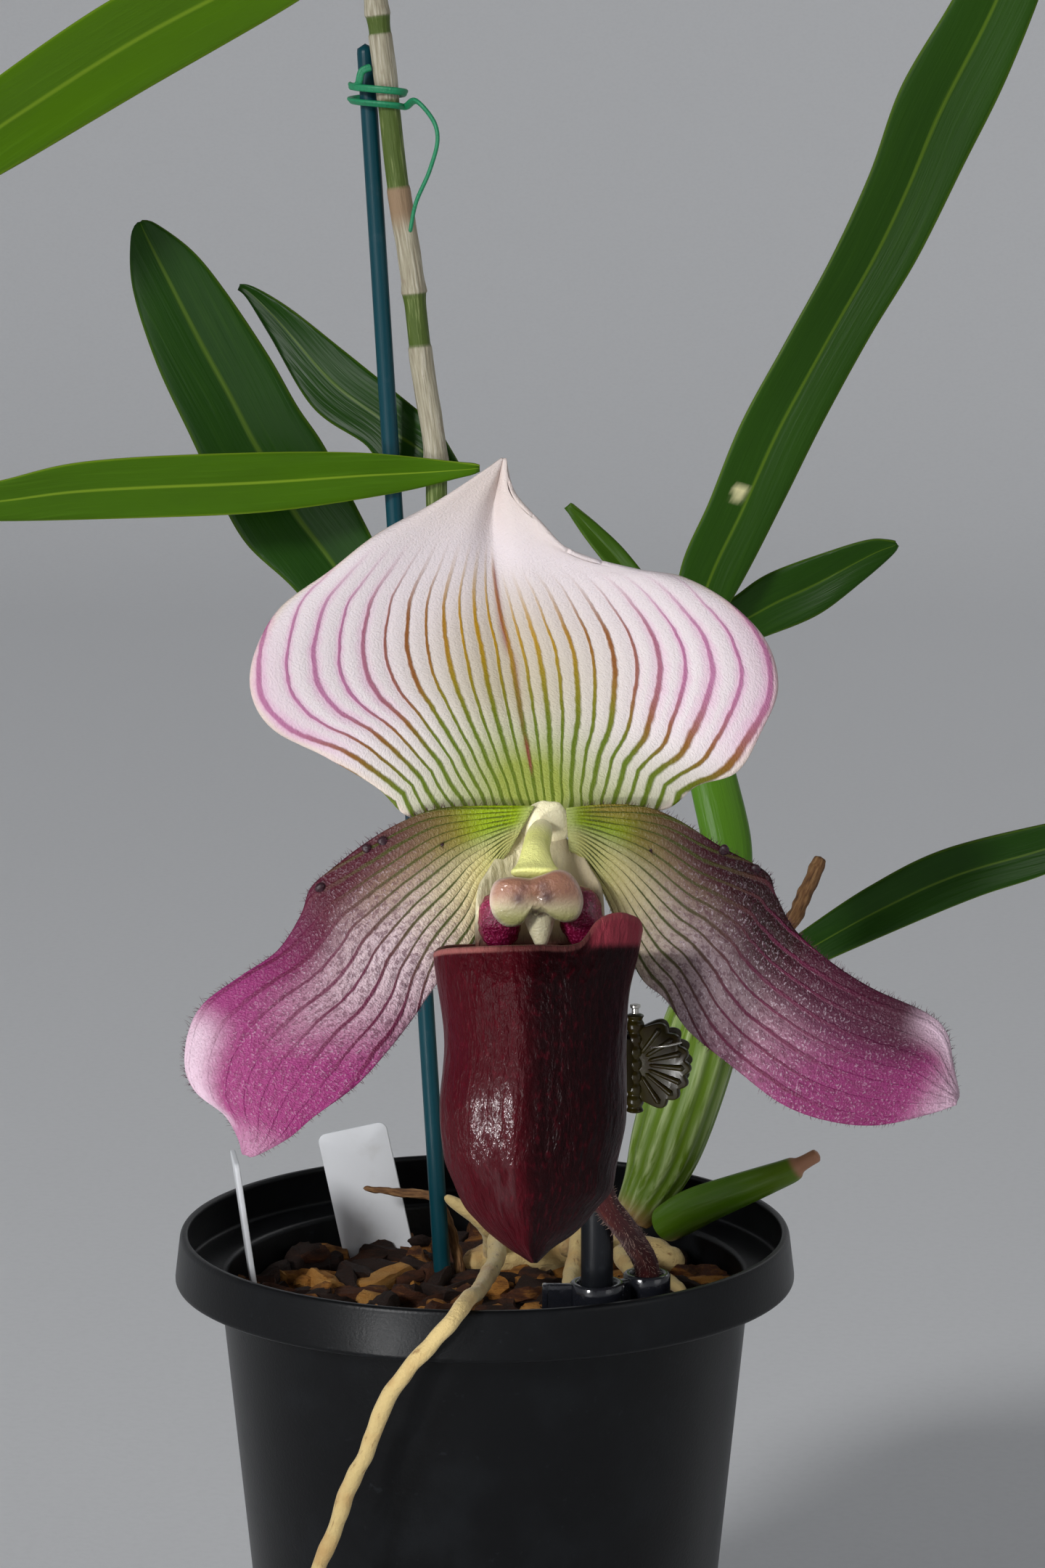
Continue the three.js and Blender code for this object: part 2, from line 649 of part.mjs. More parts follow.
function clawClip() {
  const { hinge, barrelRadius, barrelHeight, grooves, grooveDepth, plateTurns } = CLAW;
  const profile = [[0, -barrelHeight / 2]];
  for (let i = 0; i <= 2 * grooves; i += 1) {
    const z = barrelHeight * (i / (2 * grooves) - 0.5);
    profile.push([barrelRadius - (i % 2) * grooveDepth, z]);
  }
  profile.push([0, barrelHeight / 2]);
  const barrel = turned(profile, 10).translate(hinge.x, hinge.y, hinge.z);
  const parts = [barrel, jaw(FRONT_JAW), jaw(REAR_JAW), ...plateTurns.map(scallopedPlate)];
  return shapeOf(largest(joined(parts.map(solid))));
}

// Twist tie: a turn and a half round cane and teal stake, a hooked end and a long loose tail
const TIE = {
  centre: standing(520.5, 131, 23.2),
  radius: 0.5,
  long: 5.1,
  short: 3.3,
  lean: Math.atan2(2.4, -3.2),
  turns: 1.5,
  rise: 1.6,
  pitch: 2.3,
  hook: [[512, 92, 21], [499, 98, 21], [494, 115, 21.5]],
  tail: [[575, 140, 15], [598, 168, 14], [603, 192, 13.5], [592, 235, 14], [573, 280, 15], [565, 320, 15.5]],
};

function twistTie() {
  const points = TIE.hook.map((place) => standing(...place));
  const steps = 18;
  const [cosLean, sinLean] = [Math.cos(TIE.lean), Math.sin(TIE.lean)];
  for (let i = 0; i <= steps; i += 1) {
    const turn = (i / steps) * TIE.turns;
    const angle = Math.PI + turn * 2 * Math.PI + 0.2;
    const [a, b] = [TIE.long * Math.cos(angle), TIE.short * Math.sin(angle)];
    const move = at(b * sinLean - a * cosLean, -a * sinLean - b * cosLean, TIE.rise - TIE.pitch * turn);
    points.push(TIE.centre.clone().add(move));
  }
  TIE.tail.forEach((place) => points.push(standing(...place)));
  return stem(points, () => TIE.radius, { sides: 6, steps: 52 });
}

// Cane, bulbs and their leaves

const CANE_NODES = [0.115, 0.36, 0.575, 0.7, 0.9];
const CANE_ROUTE = [[692, 1695, 17.6], [672, 1620, 19], [655, 1500, 20], [640, 1300, 20.5], [625, 1040, 21],
  [610, 820, 21], [602, 700, 21], [600, 624, 21], [582, 505, 21.3], [566, 367, 21.6], [548, 253, 21.8],
  [534, 129, 22], [518, 0, 22], [508, -80, 22], [501, -175, 22]];

function caneRadius(t) {
  const joint = CANE_NODES.reduce((sum, node) => sum + Math.exp(-Math.pow((t - node) / 0.008, 2)), 0);
  return (CANE_RADIUS + 0.15 * joint) * (t > 0.985 ? 0.5 : 1);
}

function cane() {
  return stem(CANE_ROUTE.map((place) => standing(...place)), caneRadius, { sides: 8, steps: 44 });
}

const BULB_ROUTE = [[867, 1683, 19.5], [880, 1662, 20], [902, 1620, 21], [930, 1540, 22], [955, 1460, 22.5],
  [972, 1390, 23], [986, 1320, 23.5], [1002, 1250, 24], [1004, 1180, 24.5], [984, 1080, 25], [960, 990, 26],
  [944, 914, 26.5]];
const bulbRadius = through([[0, 3.2], [0.06, 4.4], [0.15, 6], [0.26, 6.5], [0.35, 6.4], [0.44, 5], [0.52, 4],
  [0.62, 3.8], [0.7, 4.1], [0.85, 3.8], [1, 3.2]]);

function bulbLarge() {
  return stem(BULB_ROUTE.map((place) => standing(...place)), bulbRadius, {
    sides: 12,
    steps: 20,
    flat: (t) => mix(1, 0.62, THREE.MathUtils.smoothstep(t, 0.4, 0.65)),
  });
}

function bulbSmall() {
  const route = [[916, 1687, 14.7], [958, 1664, 9.5], [1010, 1643, 6], [1060, 1624, 4.5], [1090, 1612, 4],
    [1100, 1606, 3.8], [1128, 1590, 3.4]];
  const radius = through([[0, 3.1], [0.2, 3.4], [0.5, 2.9], [0.78, 2.2], [0.86, 1.9], [0.89, 1.3], [1, 1.1]]);
  return stem(route.map((place) => standing(...place)), radius, { sides: 10, steps: 15 });
}

function driedStub() {
  const route = [[1031, 1328, 24.4], [1060, 1303, 26], [1090, 1270, 28], [1112, 1225, 28.5],
    [1131, 1180, 29]];
  const radius = through([[0, 1.1], [0.5, 1.3], [0.9, 1.25], [1, 0.9]]);
  return stem(route.map((place) => standing(...place)), radius, { sides: 8, steps: 10 });
}

// Strap leaves: both margins from base to tip, y along the leaf, and the depth of the keel
const LEAVES = {
  leaf_upper_left: {
    left: [[489, -128], [470, -50], [413, 0], [200, 124], [0, 241], [-90, 284], [-150, 304], [-190, 301]],
    right: [[486, -158], [420, -125], [300, -72], [152, 0], [0, 103], [-90, 177], [-160, 250], [-194, 294]],
    depths: [[0, 20.4], [0.5, 8], [1, -8]],
    keel: 1.2,
  },
  leaf_broad: {
    left: [[596, 1045], [540, 975], [470, 893], [405, 812], [340, 750], [300, 680], [262, 600], [215, 500],
      [183, 400], [180, 330], [190, 307]],
    right: [[605, 1012], [590, 920], [550, 820], [515, 745], [450, 620], [410, 560], [370, 490], [310, 400],
      [265, 345], [215, 308], [196, 304]],
    depths: [[0, 21], [0.5, 26], [1, 33]],
    keel: 1.6,
  },
  leaf_broad_rear: {
    left: [[612, 668], [530, 640], [500, 610], [430, 560], [370, 460], [340, 410], [328, 399]],
    right: [[634, 640], [600, 585], [570, 560], [520, 520], [470, 480], [400, 425], [350, 395], [331, 392]],
    depths: [[0, 23.6], [0.15, 24], [0.5, 30], [1, 38]],
    keel: 0.8,
  },
  leaf_level: {
    left: [[661, 649], [637, 657], [540, 680], [378, 704], [216, 713], [0, 718], [-90, 712], [-168, 702]],
    right: [[661, 641], [637, 637], [486, 623], [270, 626], [108, 637], [0, 662], [-90, 680], [-168, 696]],
    depths: [[0, 18.2], [0.1, 18.1], [0.2, 16], [0.5, 11], [1, 4]],
    keel: 0.5,
  },
  leaf_long: {
    left: [[925, 906], [937, 786], [977, 691], [1021, 583], [1080, 475], [1145, 356], [1199, 238],
      [1242, 119], [1312, 0], [1370, -110], [1440, -230], [1502, -332]],
    right: [[957, 910], [1021, 805], [1080, 691], [1134, 583], [1199, 464], [1264, 356], [1328, 227],
      [1382, 119], [1431, 0], [1468, -110], [1492, -220], [1510, -328]],
    depths: [[0, 24], [0.5, 17], [1, 5]],
    keel: 1.6,
  },
  leaf_side: {
    left: [[936, 896], [980, 846], [1015, 820], [1060, 790], [1140, 760], [1200, 743], [1234, 746]],
    right: [[958, 905], [1000, 896], [1060, 875], [1130, 845], [1190, 800], [1230, 765], [1238, 752]],
    depths: [[0, 26.6], [0.5, 28], [1, 26]],
    keel: 1,
  },
  leaf_short: {
    left: [[918, 909], [880, 838], [838, 782], [806, 740], [778, 700]],
    right: [[941, 909], [912, 830], [870, 768], [826, 724], [786, 693]],
    depths: [[0, 28.4], [0.5, 31], [1, 33]],
    keel: 0.6,
  },
  leaf_low_right: {
    left: [[1024, 1357], [1060, 1318], [1110, 1280], [1200, 1220], [1300, 1170], [1440, 1135], [1520, 1123],
      [1580, 1126]],
    right: [[1033, 1382], [1080, 1352], [1150, 1318], [1250, 1275], [1350, 1235], [1440, 1205],
      [1520, 1165], [1581, 1133]],
    depths: [[0, 23.6], [0.5, 18], [1, 8]],
    keel: 1.2,
  },
};

function strapLeaf({ left, right, depths, keel }) {
  const depthAlong = through(depths);
  return outlineBlade({
    left,
    right,
    across: 4,
    along: 12,
    thickness: LEAF_THICKNESS,
    place: (px, py, s, v) => {
      const fold = keel * (1 - Math.abs(s)) * Math.sin(Math.PI * v);
      return standing(px, py, depthAlong(v) + fold);
    },
  });
}

// Roots, creeping stem and twig

const RHIZOME = {
  route: [at(-4, 15, 84.5), at(2.5, 17.5, 85.2), at(14, 18, 85.4), at(25, 19, 85.6), at(33, 14, 85)],
  radius: through([[0, 1.6], [0.2, 2.9], [0.5, 2.6], [0.8, 3.1], [1, 1.4]]),
  detail: { sides: 10, steps: 10 },
};
const ROOT_DETAIL = { sides: 6, steps: 9 };
const ROOTS = [
  { route: [at(1, 15.5, 86), standing(672, 1692, 10), standing(645, 1668, 9), standing(612, 1648, 9)],
    radius: through([[0, 1.4], [0.7, 1.3], [1, 0.7]]) },
  { route: [at(13, 17, 86), standing(797, 1698, 9), standing(790, 1745, 1), standing(784, 1775, -8),
    standing(782, 1800, -16)],
  radius: through([[0, 1.3], [0.6, 1.4], [1, 0.8]]) },
  { route: [at(24, 17, 86), standing(856, 1728, 8), standing(878, 1752, 0), standing(915, 1762, -3),
    standing(945, 1780, -8)],
  radius: through([[0, 1.4], [0.6, 1.5], [1, 0.8]]) },
];
const AERIAL_ROOT = {
  route: [[716, 1711, 10], [690, 1702, 4], [683, 1735, -12], [668, 1765, -28], [655, 1782, -42],
    [642, 1793, -50], [622, 1820, -53.4], [598, 1847, -53.4], [560, 1890, -53], [530, 1935, -51.5],
    [505, 2000, -50], [480, 2050, -49], [465, 2100, -48.5], [440, 2160, -48], [424, 2230, -47],
    [414, 2300, -46]].map((place) => standing(...place)),
  radius: through([[0, 1.7], [0.2, 1.5], [0.5, 1.35], [0.9, 1.25], [1, 0.5]]),
  detail: { sides: 8, steps: 32 },
};
const TWIG = {
  route: [at(-3.7, 11.8, 79), at(-5, 13, 88), standing(600, 1652, 16), standing(550, 1643, 18),
    standing(500, 1637, 20)],
  radius: through([[0, 0.9], [0.6, 0.8], [1, 0.5]]),
  detail: { sides: 6, steps: 9 },
};

function rhizomeAndRoots() {
  const runner = solid(stem(RHIZOME.route, RHIZOME.radius, RHIZOME.detail));
  const roots = ROOTS.map(({ route, radius }) => solid(stem(route, radius, ROOT_DETAIL)));
  return shapeOf(largest(joined([runner, ...roots])));
}

// Name tags

const NAME_TAG = { foot: standing(521, 1720, 27), top: standing(484, 1554, 29), width: 11.8, buried: 12,
  facing: at(0, -1, 0) };
const SIDE_TAG = { foot: at(-37.6, 1, 84), top: at(-40.6, 1, 106.5), width: 12, buried: 10,
  facing: at(-1, -0.13, 0) };
const TAG_THICKNESS = 0.8;

function tag({ foot, top, width, buried, facing }, grow = 0) {
  const length = foot.distanceTo(top) + buried + grow;
  const half = width / 2 + grow;
  const corner = 1.4;
  const outline = new THREE.Shape();
  outline.moveTo(-half, 0);
  outline.lineTo(half, 0);
  outline.lineTo(half, length - corner);
  outline.absarc(half - corner, length - corner, corner, 0, Math.PI / 2, false);
  outline.absarc(corner - half, length - corner, corner, Math.PI / 2, Math.PI, false);
  const thick = TAG_THICKNESS + 2 * grow;
  const card = new THREE.ExtrudeGeometry(outline, { depth: thick, bevelEnabled: false, curveSegments: 4 });
  const up = top.clone().sub(foot).normalize();
  const out = facing.clone().projectOnPlane(up).normalize();
  const side = up.clone().cross(out);
  card.translate(0, -buried - grow, -thick / 2);
  return card.applyMatrix4(new THREE.Matrix4().makeBasis(side, up, out).setPosition(foot));
}

// Bark: the fill and the chips that stand out of it, with a plain hole for everything planted in it

const CHIP = {
  count: 38,
  seed: 20,
  length: [6, 15],
  width: [4, 8],
  thickness: [2.4, 4],
  rough: at(2.2, 1.6, 0.9),
  tilt: 0.45,
  spread: 38,
  proud: [0.2, 2],
};

// A chip: a box with every corner shifted at random, tilted and laid on the fill
function barkChip(random) {
  const drawn = ([low, high]) => mix(low, high, random());
  const chip = new THREE.BoxGeometry(drawn(CHIP.length), drawn(CHIP.width), drawn(CHIP.thickness));
  const corners = chip.attributes.position;
  const cornerShift = new Map();
  for (let i = 0; i < corners.count; i += 1) {
    const corner = new THREE.Vector3().fromBufferAttribute(corners, i);
    const key = corner.toArray().join();
    if (!cornerShift.has(key)) {
      cornerShift.set(key, at(random() - 0.5, random() - 0.5, random() - 0.5).multiply(CHIP.rough));
    }
    corner.add(cornerShift.get(key));
    corners.setXYZ(i, corner.x, corner.y, corner.z);
  }
  chip.rotateX(drawn([-CHIP.tilt, CHIP.tilt]));
  chip.rotateY(drawn([-CHIP.tilt, CHIP.tilt]));
  chip.rotateZ(2 * Math.PI * random());
  const radius = CHIP.spread * Math.sqrt(random());
  const angle = 2 * Math.PI * random();
  return chip.translate(radius * Math.cos(angle), radius * Math.sin(angle), BARK_LEVEL + drawn(CHIP.proud));
}

function barkMix() {
  const random = randomNumbers(CHIP.seed);
  const floor = POT_FLOOR + SEAT;
  const inner = (z) => wallRadius(z) - WALL - SEAT;
  const level = BARK_LEVEL;
  const fill = solid(turned([[0, floor], [inner(floor) - 0.2, floor], [inner(level), level], [20, level + 1],
    [0, level + 1.4]], POT_SEGMENTS));
  const chips = [];
  for (let i = 0; i < CHIP.count; i += 1) chips.push(solid(barkChip(random)));
  const inside = solid(turned([[0, 0], [inner(0), 0], [inner(level), level], [inner(level), 94], [0, 94]],
    POT_SEGMENTS));
  const grown = (radius) => (t) => radius(t) + SEAT;
  const hole = (route, radius, detail) => stem(extended(route), grown(radius), detail);
  const planted = [
    hole([blackStakeFoot, blackStakeTop], () => BLACK_STAKE_RADIUS, { sides: 12, steps: 1 }),
    hole(STEM_ROUTE.slice(0, 5), () => stemRadius(0), { sides: 8, steps: 8 }),
    hole([tealFoot, tealTop], () => TEAL_STAKE_RADIUS, { sides: 10, steps: 1 }),
    hole(RHIZOME.route, RHIZOME.radius, RHIZOME.detail),
    ...ROOTS.map(({ route, radius }) => hole(route, radius, ROOT_DETAIL)),
    hole(AERIAL_ROOT.route, AERIAL_ROOT.radius, AERIAL_ROOT.detail),
    hole(TWIG.route, TWIG.radius, TWIG.detail),
    tag(NAME_TAG, SEAT),
    tag(SIDE_TAG, SEAT),
  ].map(solid);
  return shapeOf(largest(joined([fill, ...chips]).intersect(inside).subtract(joined(planted))));
}

// Assembly

function material(color, roughness, metalness = 0) {
  return new THREE.MeshStandardMaterial({ color, roughness, metalness });
}

const FINISH = {
  potPlastic: material('#15171a', 0.45),
  bark: material('#7a4520', 0.9),
  blackPlastic: material('#121316', 0.35),
  tealPlastic: material('#0b5560', 0.4),
  greenTie: material('#0d6b45', 0.5),
  amberPlastic: material('#4a4a12', 0.25),
  tagPlastic: material('#d0d4dc', 0.5),
  sepal: material('#e8dfe2', 0.6),
  petal: material('#9a4a78', 0.5),
  lowerSepal: material('#c8cf9a', 0.6),
  pouch: material('#5a0a20', 0.25),
  column: material('#e0d2a0', 0.5),
  stem: material('#43201e', 0.7),
  bract: material('#5a6a2a', 0.6),
  cane: material('#b7b48c', 0.7),
  bulb: material('#7f9a2a', 0.45),
  leaf: material('#3c7414', 0.4),
  root: material('#d8b880', 0.8),
  dryRoot: material('#7a5030', 0.9),
};

const plant = new THREE.Group();

function addPiece(name, geometry, finish) {
  const mesh = new THREE.Mesh(geometry, finish);
  mesh.name = name;
  plant.add(mesh);
}

addPiece('pot', potGeometry(), FINISH.potPlastic);
addPiece('bark_mix', barkMix(), FINISH.bark);
addPiece('rhizome_roots', rhizomeAndRoots(), FINISH.root);
addPiece('aerial_root', stem(AERIAL_ROOT.route, AERIAL_ROOT.radius, AERIAL_ROOT.detail), FINISH.root);
addPiece('dry_twig', stem(TWIG.route, TWIG.radius, TWIG.detail), FINISH.dryRoot);
addPiece('name_tag', tag(NAME_TAG), FINISH.tagPlastic);
addPiece('side_tag', tag(SIDE_TAG), FINISH.tagPlastic);
addPiece('teal_stake', straightStem(tealFoot, tealTop, TEAL_STAKE_RADIUS, 12), FINISH.tealPlastic);
addPiece('black_stake', straightStem(blackStakeFoot, blackStakeTop, BLACK_STAKE_RADIUS, 16),
  FINISH.blackPlastic);
addPiece('ring_clip', ringClip(), FINISH.blackPlastic);
addPiece('claw_clip', clawClip(), FINISH.amberPlastic);
addPiece('twist_tie', twistTie(), FINISH.greenTie);
addPiece('cane', cane(), FINISH.cane);
addPiece('bulb_large', bulbLarge(), FINISH.bulb);
addPiece('bulb_small', bulbSmall(), FINISH.bulb);
addPiece('dried_stub', driedStub(), FINISH.dryRoot);
Object.entries(LEAVES).forEach(([name, outline]) => addPiece(name, strapLeaf(outline), FINISH.leaf));
addPiece('flowering_stem', floweringStem(), FINISH.stem);
addPiece('bract', bract(), FINISH.bract);
addPiece('dorsal_sepal', dorsalSepal(), FINISH.sepal);
addPiece('synsepal', synsepal(), FINISH.lowerSepal);
addPiece('petal_left', petal(LEFT_PETAL_UPPER, LEFT_PETAL_LOWER, true), FINISH.petal);
addPiece('petal_right', petal(RIGHT_PETAL_UPPER, RIGHT_PETAL_LOWER, false), FINISH.petal);
addPiece('pouch', pouch(), FINISH.pouch);
addPiece('column', column(), FINISH.column);

export default plant;
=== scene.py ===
"""Dresses a potted lady's slipper orchid: flower, stem, cane, bulbs and leaves in a nursery pot.

Shapes are worked out in millimetres and made in metres, in the frame of the packed model.
"""
import math
from functools import partial

import bmesh
import bpy
import numpy as np
from bpy.props import FloatProperty, FloatVectorProperty, IntProperty, PointerProperty
from mathutils import Matrix, Vector, noise


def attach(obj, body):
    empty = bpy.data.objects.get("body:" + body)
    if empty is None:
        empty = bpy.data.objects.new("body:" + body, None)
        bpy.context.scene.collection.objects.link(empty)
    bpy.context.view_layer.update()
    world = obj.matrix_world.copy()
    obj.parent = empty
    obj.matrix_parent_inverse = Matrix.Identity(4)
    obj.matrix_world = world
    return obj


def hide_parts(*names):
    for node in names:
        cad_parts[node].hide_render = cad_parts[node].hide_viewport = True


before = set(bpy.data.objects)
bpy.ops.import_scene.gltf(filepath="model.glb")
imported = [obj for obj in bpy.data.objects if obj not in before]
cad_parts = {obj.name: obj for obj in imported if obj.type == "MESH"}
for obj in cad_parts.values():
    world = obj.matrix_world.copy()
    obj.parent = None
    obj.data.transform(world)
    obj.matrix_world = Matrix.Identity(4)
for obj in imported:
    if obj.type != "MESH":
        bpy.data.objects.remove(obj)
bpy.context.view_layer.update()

bl_info = {
    "name": "Potted Lady's Slipper Orchid",
    "version": (1, 0, 0),
    "blender": (4, 5, 0),
    "location": "3D View > Sidebar > Orchid",
    "description": "Builds a striped slipper orchid in a nursery pot, piece by piece",
    "category": "Add Mesh",
}

MM = 0.001
FULL_TURN = 2 * math.pi

# The photograph's eye: places given as pixels of its 1440 by 2160 frame are read through it
EYE = np.array([6.1, -686.4, 279.0])
PITCH = math.radians(9.2)
CENTRE_X, CENTRE_Y = 720, 1080
PIXEL = 1 / 6000
FLOWER_PLANE = 622
AHEAD = np.array([0, math.cos(PITCH), -math.sin(PITCH)])
ABOVE = np.array([0, math.sin(PITCH), math.cos(PITCH)])

# Sizes shared with the solids
POT_HEIGHT = 95
RIM_RADIUS = 49.3
SKIRT_RADIUS = 50.3
SKIRT_HEIGHT = 8
WALL_TOP_RADIUS = 43
BASE_RADIUS = 34.5
WALL = 1.2
POT_FLOOR = 1.6
BARK_LEVEL = 82
SEAT = 0.3
PETAL_THICKNESS = 0.8
LEAF_THICKNESS = 0.9
POUCH_THICKNESS = 0.9
BLACK_STAKE_RADIUS = 2.5
TEAL_STAKE_RADIUS = 1.4
STEM_RADIUS = 1.9
CANE_RADIUS = 1.75


# Colours and settings

def linear(hex_colour):
    """An sRGB hex value as linear red, green, blue and alpha."""
    channels = [int(hex_colour[i:i + 2], 16) / 255 for i in (1, 3, 5)]
    return (*(c / 12.92 if c <= 0.04045 else ((c + 0.055) / 1.055) ** 2.4 for c in channels), 1.0)


def colour(name, description, hex_colour):
    """A colour that the user can change."""
    return FloatVectorProperty(name=name, description=description, subtype="COLOR", size=4, min=0,
                               max=1, default=linear(hex_colour))


def length(name, description, millimetres):
    """A small length that the user can change, kept in metres."""
    return FloatProperty(name=name, description=description, default=millimetres * MM, min=0,
                         soft_max=0.1, precision=5, unit="LENGTH", subtype="DISTANCE")


class PlanterSettings(bpy.types.PropertyGroup):
    """Pot, bark, stakes and clips."""

    pot: colour("Pot", "Black moulded plastic of the pot", "#0b0c0e")
    bark_light: colour("Bark, light", "Fresh faces of the bark chips", "#a8702c")
    bark_dark: colour("Bark, dark", "Weathered faces of the bark chips", "#241209")
    root: colour("Root", "Dry skin of the roots", "#d9bf82")
    teal: colour("Teal stake", "Coating of the thin stake", "#053f4a")
    amber: colour("Claw clip", "Clear amber plastic of the claw clip", "#332c06")
    tie: colour("Twist tie", "Green coating of the twist tie", "#1a8a5c")
    tag: colour("Name tags", "Blank plastic of the name tags", "#eef0f4")
    chip_count: IntProperty(name="Chips", description="How many bark chips lie on the fill",
                            default=280, min=1, max=400)


class FlowerSettings(bpy.types.PropertyGroup):
    """The flower's colours and hairs."""

    sepal: colour("Sepal", "Ground colour of the dorsal sepal", "#d9ced1")
    sepal_green: colour("Sepal green", "Vein colour near the claw", "#566800")
    sepal_brown: colour("Sepal brown", "Vein colour half way up", "#845020")
    sepal_pink: colour("Sepal magenta", "Vein colour towards the sides", "#963a74")
    petal: colour("Petal", "Ground colour of the petals' lower half", "#c2abb1")
    petal_wine: colour("Petal wine", "Dark upper half of the petals", "#561226")
    petal_olive: colour("Petal olive", "Base of the petals' upper half", "#8ca40e")
    petal_magenta: colour("Petal magenta", "Outer end of the petals", "#8f2e6b")
    pouch: colour("Pouch", "Waxy wine red of the pouch", "#36020a")
    column: colour("Column", "Cream of the column and the pouch's edge", "#efe6c0")
    hair_length: length("Margin hairs", "Longest hairs on the petals' margins", 1.2)
    hair_width: length("Hair width", "Thickness of a hair at its root", 0.07)


class PlantSettings(bpy.types.PropertyGroup):
    """The stem, cane, bulbs and leaves."""

    stem: colour("Stem", "Purple brown of the flowering stem", "#3c1214")
    bract: colour("Bract", "Olive of the sheath below the flower", "#5f6a2a")
    cane: colour("Cane", "Green skin of the cane", "#4c6018")
    sheath: colour("Sheath", "Papery sheath on the cane", "#aca48c")
    bulb: colour("Bulb", "Skin of the bulbs", "#587414")
    leaf: colour("Leaf", "Upper face of the strap leaves", "#305a08")
    leaf_rib: colour("Leaf midrib", "Midrib and edges of the strap leaves", "#8ba82c")
    stem_hairs: IntProperty(name="Stem hairs", description="How many hairs the stem carries",
                            default=3000, min=0, max=12000)


class StageSettings(bpy.types.PropertyGroup):
    """Floor, backdrop and lights."""

    floor: colour("Floor", "Seamless floor and backdrop", "#f0f1f3")
    key_power: FloatProperty(name="Key light", description="Power of the soft key light", default=30,
                             min=0, unit="POWER")
    fill_power: FloatProperty(name="Fill light", description="Power of the weak fill light", default=5,
                              min=0, unit="POWER")
    sky: FloatProperty(name="Surround", description="Brightness of the pale surround", default=0.12,
                       min=0)


GROUPS = {"planter": PlanterSettings, "flower": FlowerSettings, "plant": PlantSettings,
          "stage": StageSettings}


def settings(group):
    return getattr(bpy.context.scene, f"orchid_{group}")


# Places and curves

def sight_line(px, py):
    """The direction in which a pixel is seen, per millimetre of depth."""
    px, py = np.broadcast_arrays(np.asarray(px, float), np.asarray(py, float))
    line = ((CENTRE_Y - py) * PIXEL)[..., None] * ABOVE + AHEAD
    line[..., 0] += (px - CENTRE_X) * PIXEL
    return line


def seen(px, py, behind):
    """The point of the flower seen at a pixel, so far behind the flower's plane."""
    return sight_line(px, py) * (FLOWER_PLANE + np.asarray(behind, float))[..., None] + EYE


def standing(px, py, y):
    """The point seen at a pixel, on the upright plane at y."""
    line = sight_line(px, py)
    return line * ((np.asarray(y, float) - EYE[1]) / line[..., 1])[..., None] + EYE


def placed(places):
    return [standing(*place) for place in places]


def mix(a, b, share):
    return a + (b - a) * share


def rise(value, low, high):
    """Smooth step from 0 at low to 1 at high."""
    t = np.clip((np.asarray(value, float) - low) / (high - low), 0, 1)
    return t * t * (3 - 2 * t)


def fall(value, low, high):
    """Smooth step from 1 at low to 0 at high."""
    return 1 - rise(value, low, high)


def spot(x, y, middle_x, middle_y, reach):
    """Soft round spot, 1 at its middle."""
    return np.exp(-((x - middle_x) ** 2 + (y - middle_y) ** 2) / reach ** 2)


def through(*pairs):
    """Smooth curve through hand-set (key, value) pairs with rising keys."""
    keys, values = np.array(pairs, float).T
    last = len(pairs) - 2

    def curve(key):
        key = np.asarray(key, float)
        i = np.clip(np.searchsorted(keys, key, side="left") - 1, 0, last)
        k0, k1, v0, v1 = keys[i], keys[i + 1], values[i], values[i + 1]
        before = np.maximum(i - 1, 0)
        after = np.minimum(i + 2, last + 1)
        t = np.clip((key - k0) / (k1 - k0), 0, 1)
        slope0 = (v1 - values[before]) / (k1 - keys[before]) * (k1 - k0)
        slope1 = (values[after] - v0) / (keys[after] - k0) * (k1 - k0)
        t2, t3 = t * t, t * t * t
        return (v0 * (2 * t3 - 3 * t2 + 1) + slope0 * (t3 - 2 * t2 + t)
                + v1 * (3 * t2 - 2 * t3) + slope1 * (t3 - t2))

    return curve


def hermite(p1, p2, m1, m2, w):
    """Points from p1 to p2 that leave and arrive with the slopes m1 and m2."""
    w = w[:, None]
    return (p1 + m1 * w + (3 * p2 - 3 * p1 - 2 * m1 - m2) * w ** 2
            + (2 * p1 - 2 * p2 + m1 + m2) * w ** 3)


def evenly(dense, count):
    """A dense line cut into count even steps."""
    steps = np.linalg.norm(np.diff(dense, axis=0), axis=1)
    reached = np.concatenate([[0], np.cumsum(steps)])
    wanted = np.linspace(0, reached[-1], count + 1)
    return np.stack([np.interp(wanted, reached, dense[:, k]) for k in range(dense.shape[1])], 1)


def edge_points(pixels, count):
    """Evenly spaced points along an edge that is drawn with a few pixels."""
    p = np.asarray(pixels, float)
    p = np.vstack([p[:1], p, p[-1:]])
    w = np.linspace(0, 1, 30, endpoint=False)
    dense = [hermite(b, c, (c - a) / 2, (d - b) / 2, w) for a, b, c, d in zip(p, p[1:], p[2:], p[3:])]
    return evenly(np.vstack([*dense, p[-1:]]), count)


def smooth_route(points, count):
    """Evenly spaced points on the smooth line through a few points in space."""
    p = np.asarray(points, float)
    p = np.vstack([2 * p[0] - p[1], p, 2 * p[-1] - p[-2]])
    w = np.linspace(0, 1, 24, endpoint=False)
    dense = []
    for a, b, c, d in zip(p, p[1:], p[2:], p[3:]):
        d0, d1, d2 = (math.sqrt(np.linalg.norm(v)) for v in (b - a, c - b, d - c))
        m1 = ((b - a) / d0 - (c - a) / (d0 + d1) + (c - b) / d1) * d1
        m2 = ((c - b) / d1 - (d - b) / (d1 + d2) + (d - c) / d2) * d1
        dense.append(hermite(b, c, m1, m2, w))
    return evenly(np.vstack([*dense, p[-2:-1]]), count)


def unit(vectors):
    return vectors / np.maximum(np.linalg.norm(vectors, axis=-1, keepdims=True), 1e-9)


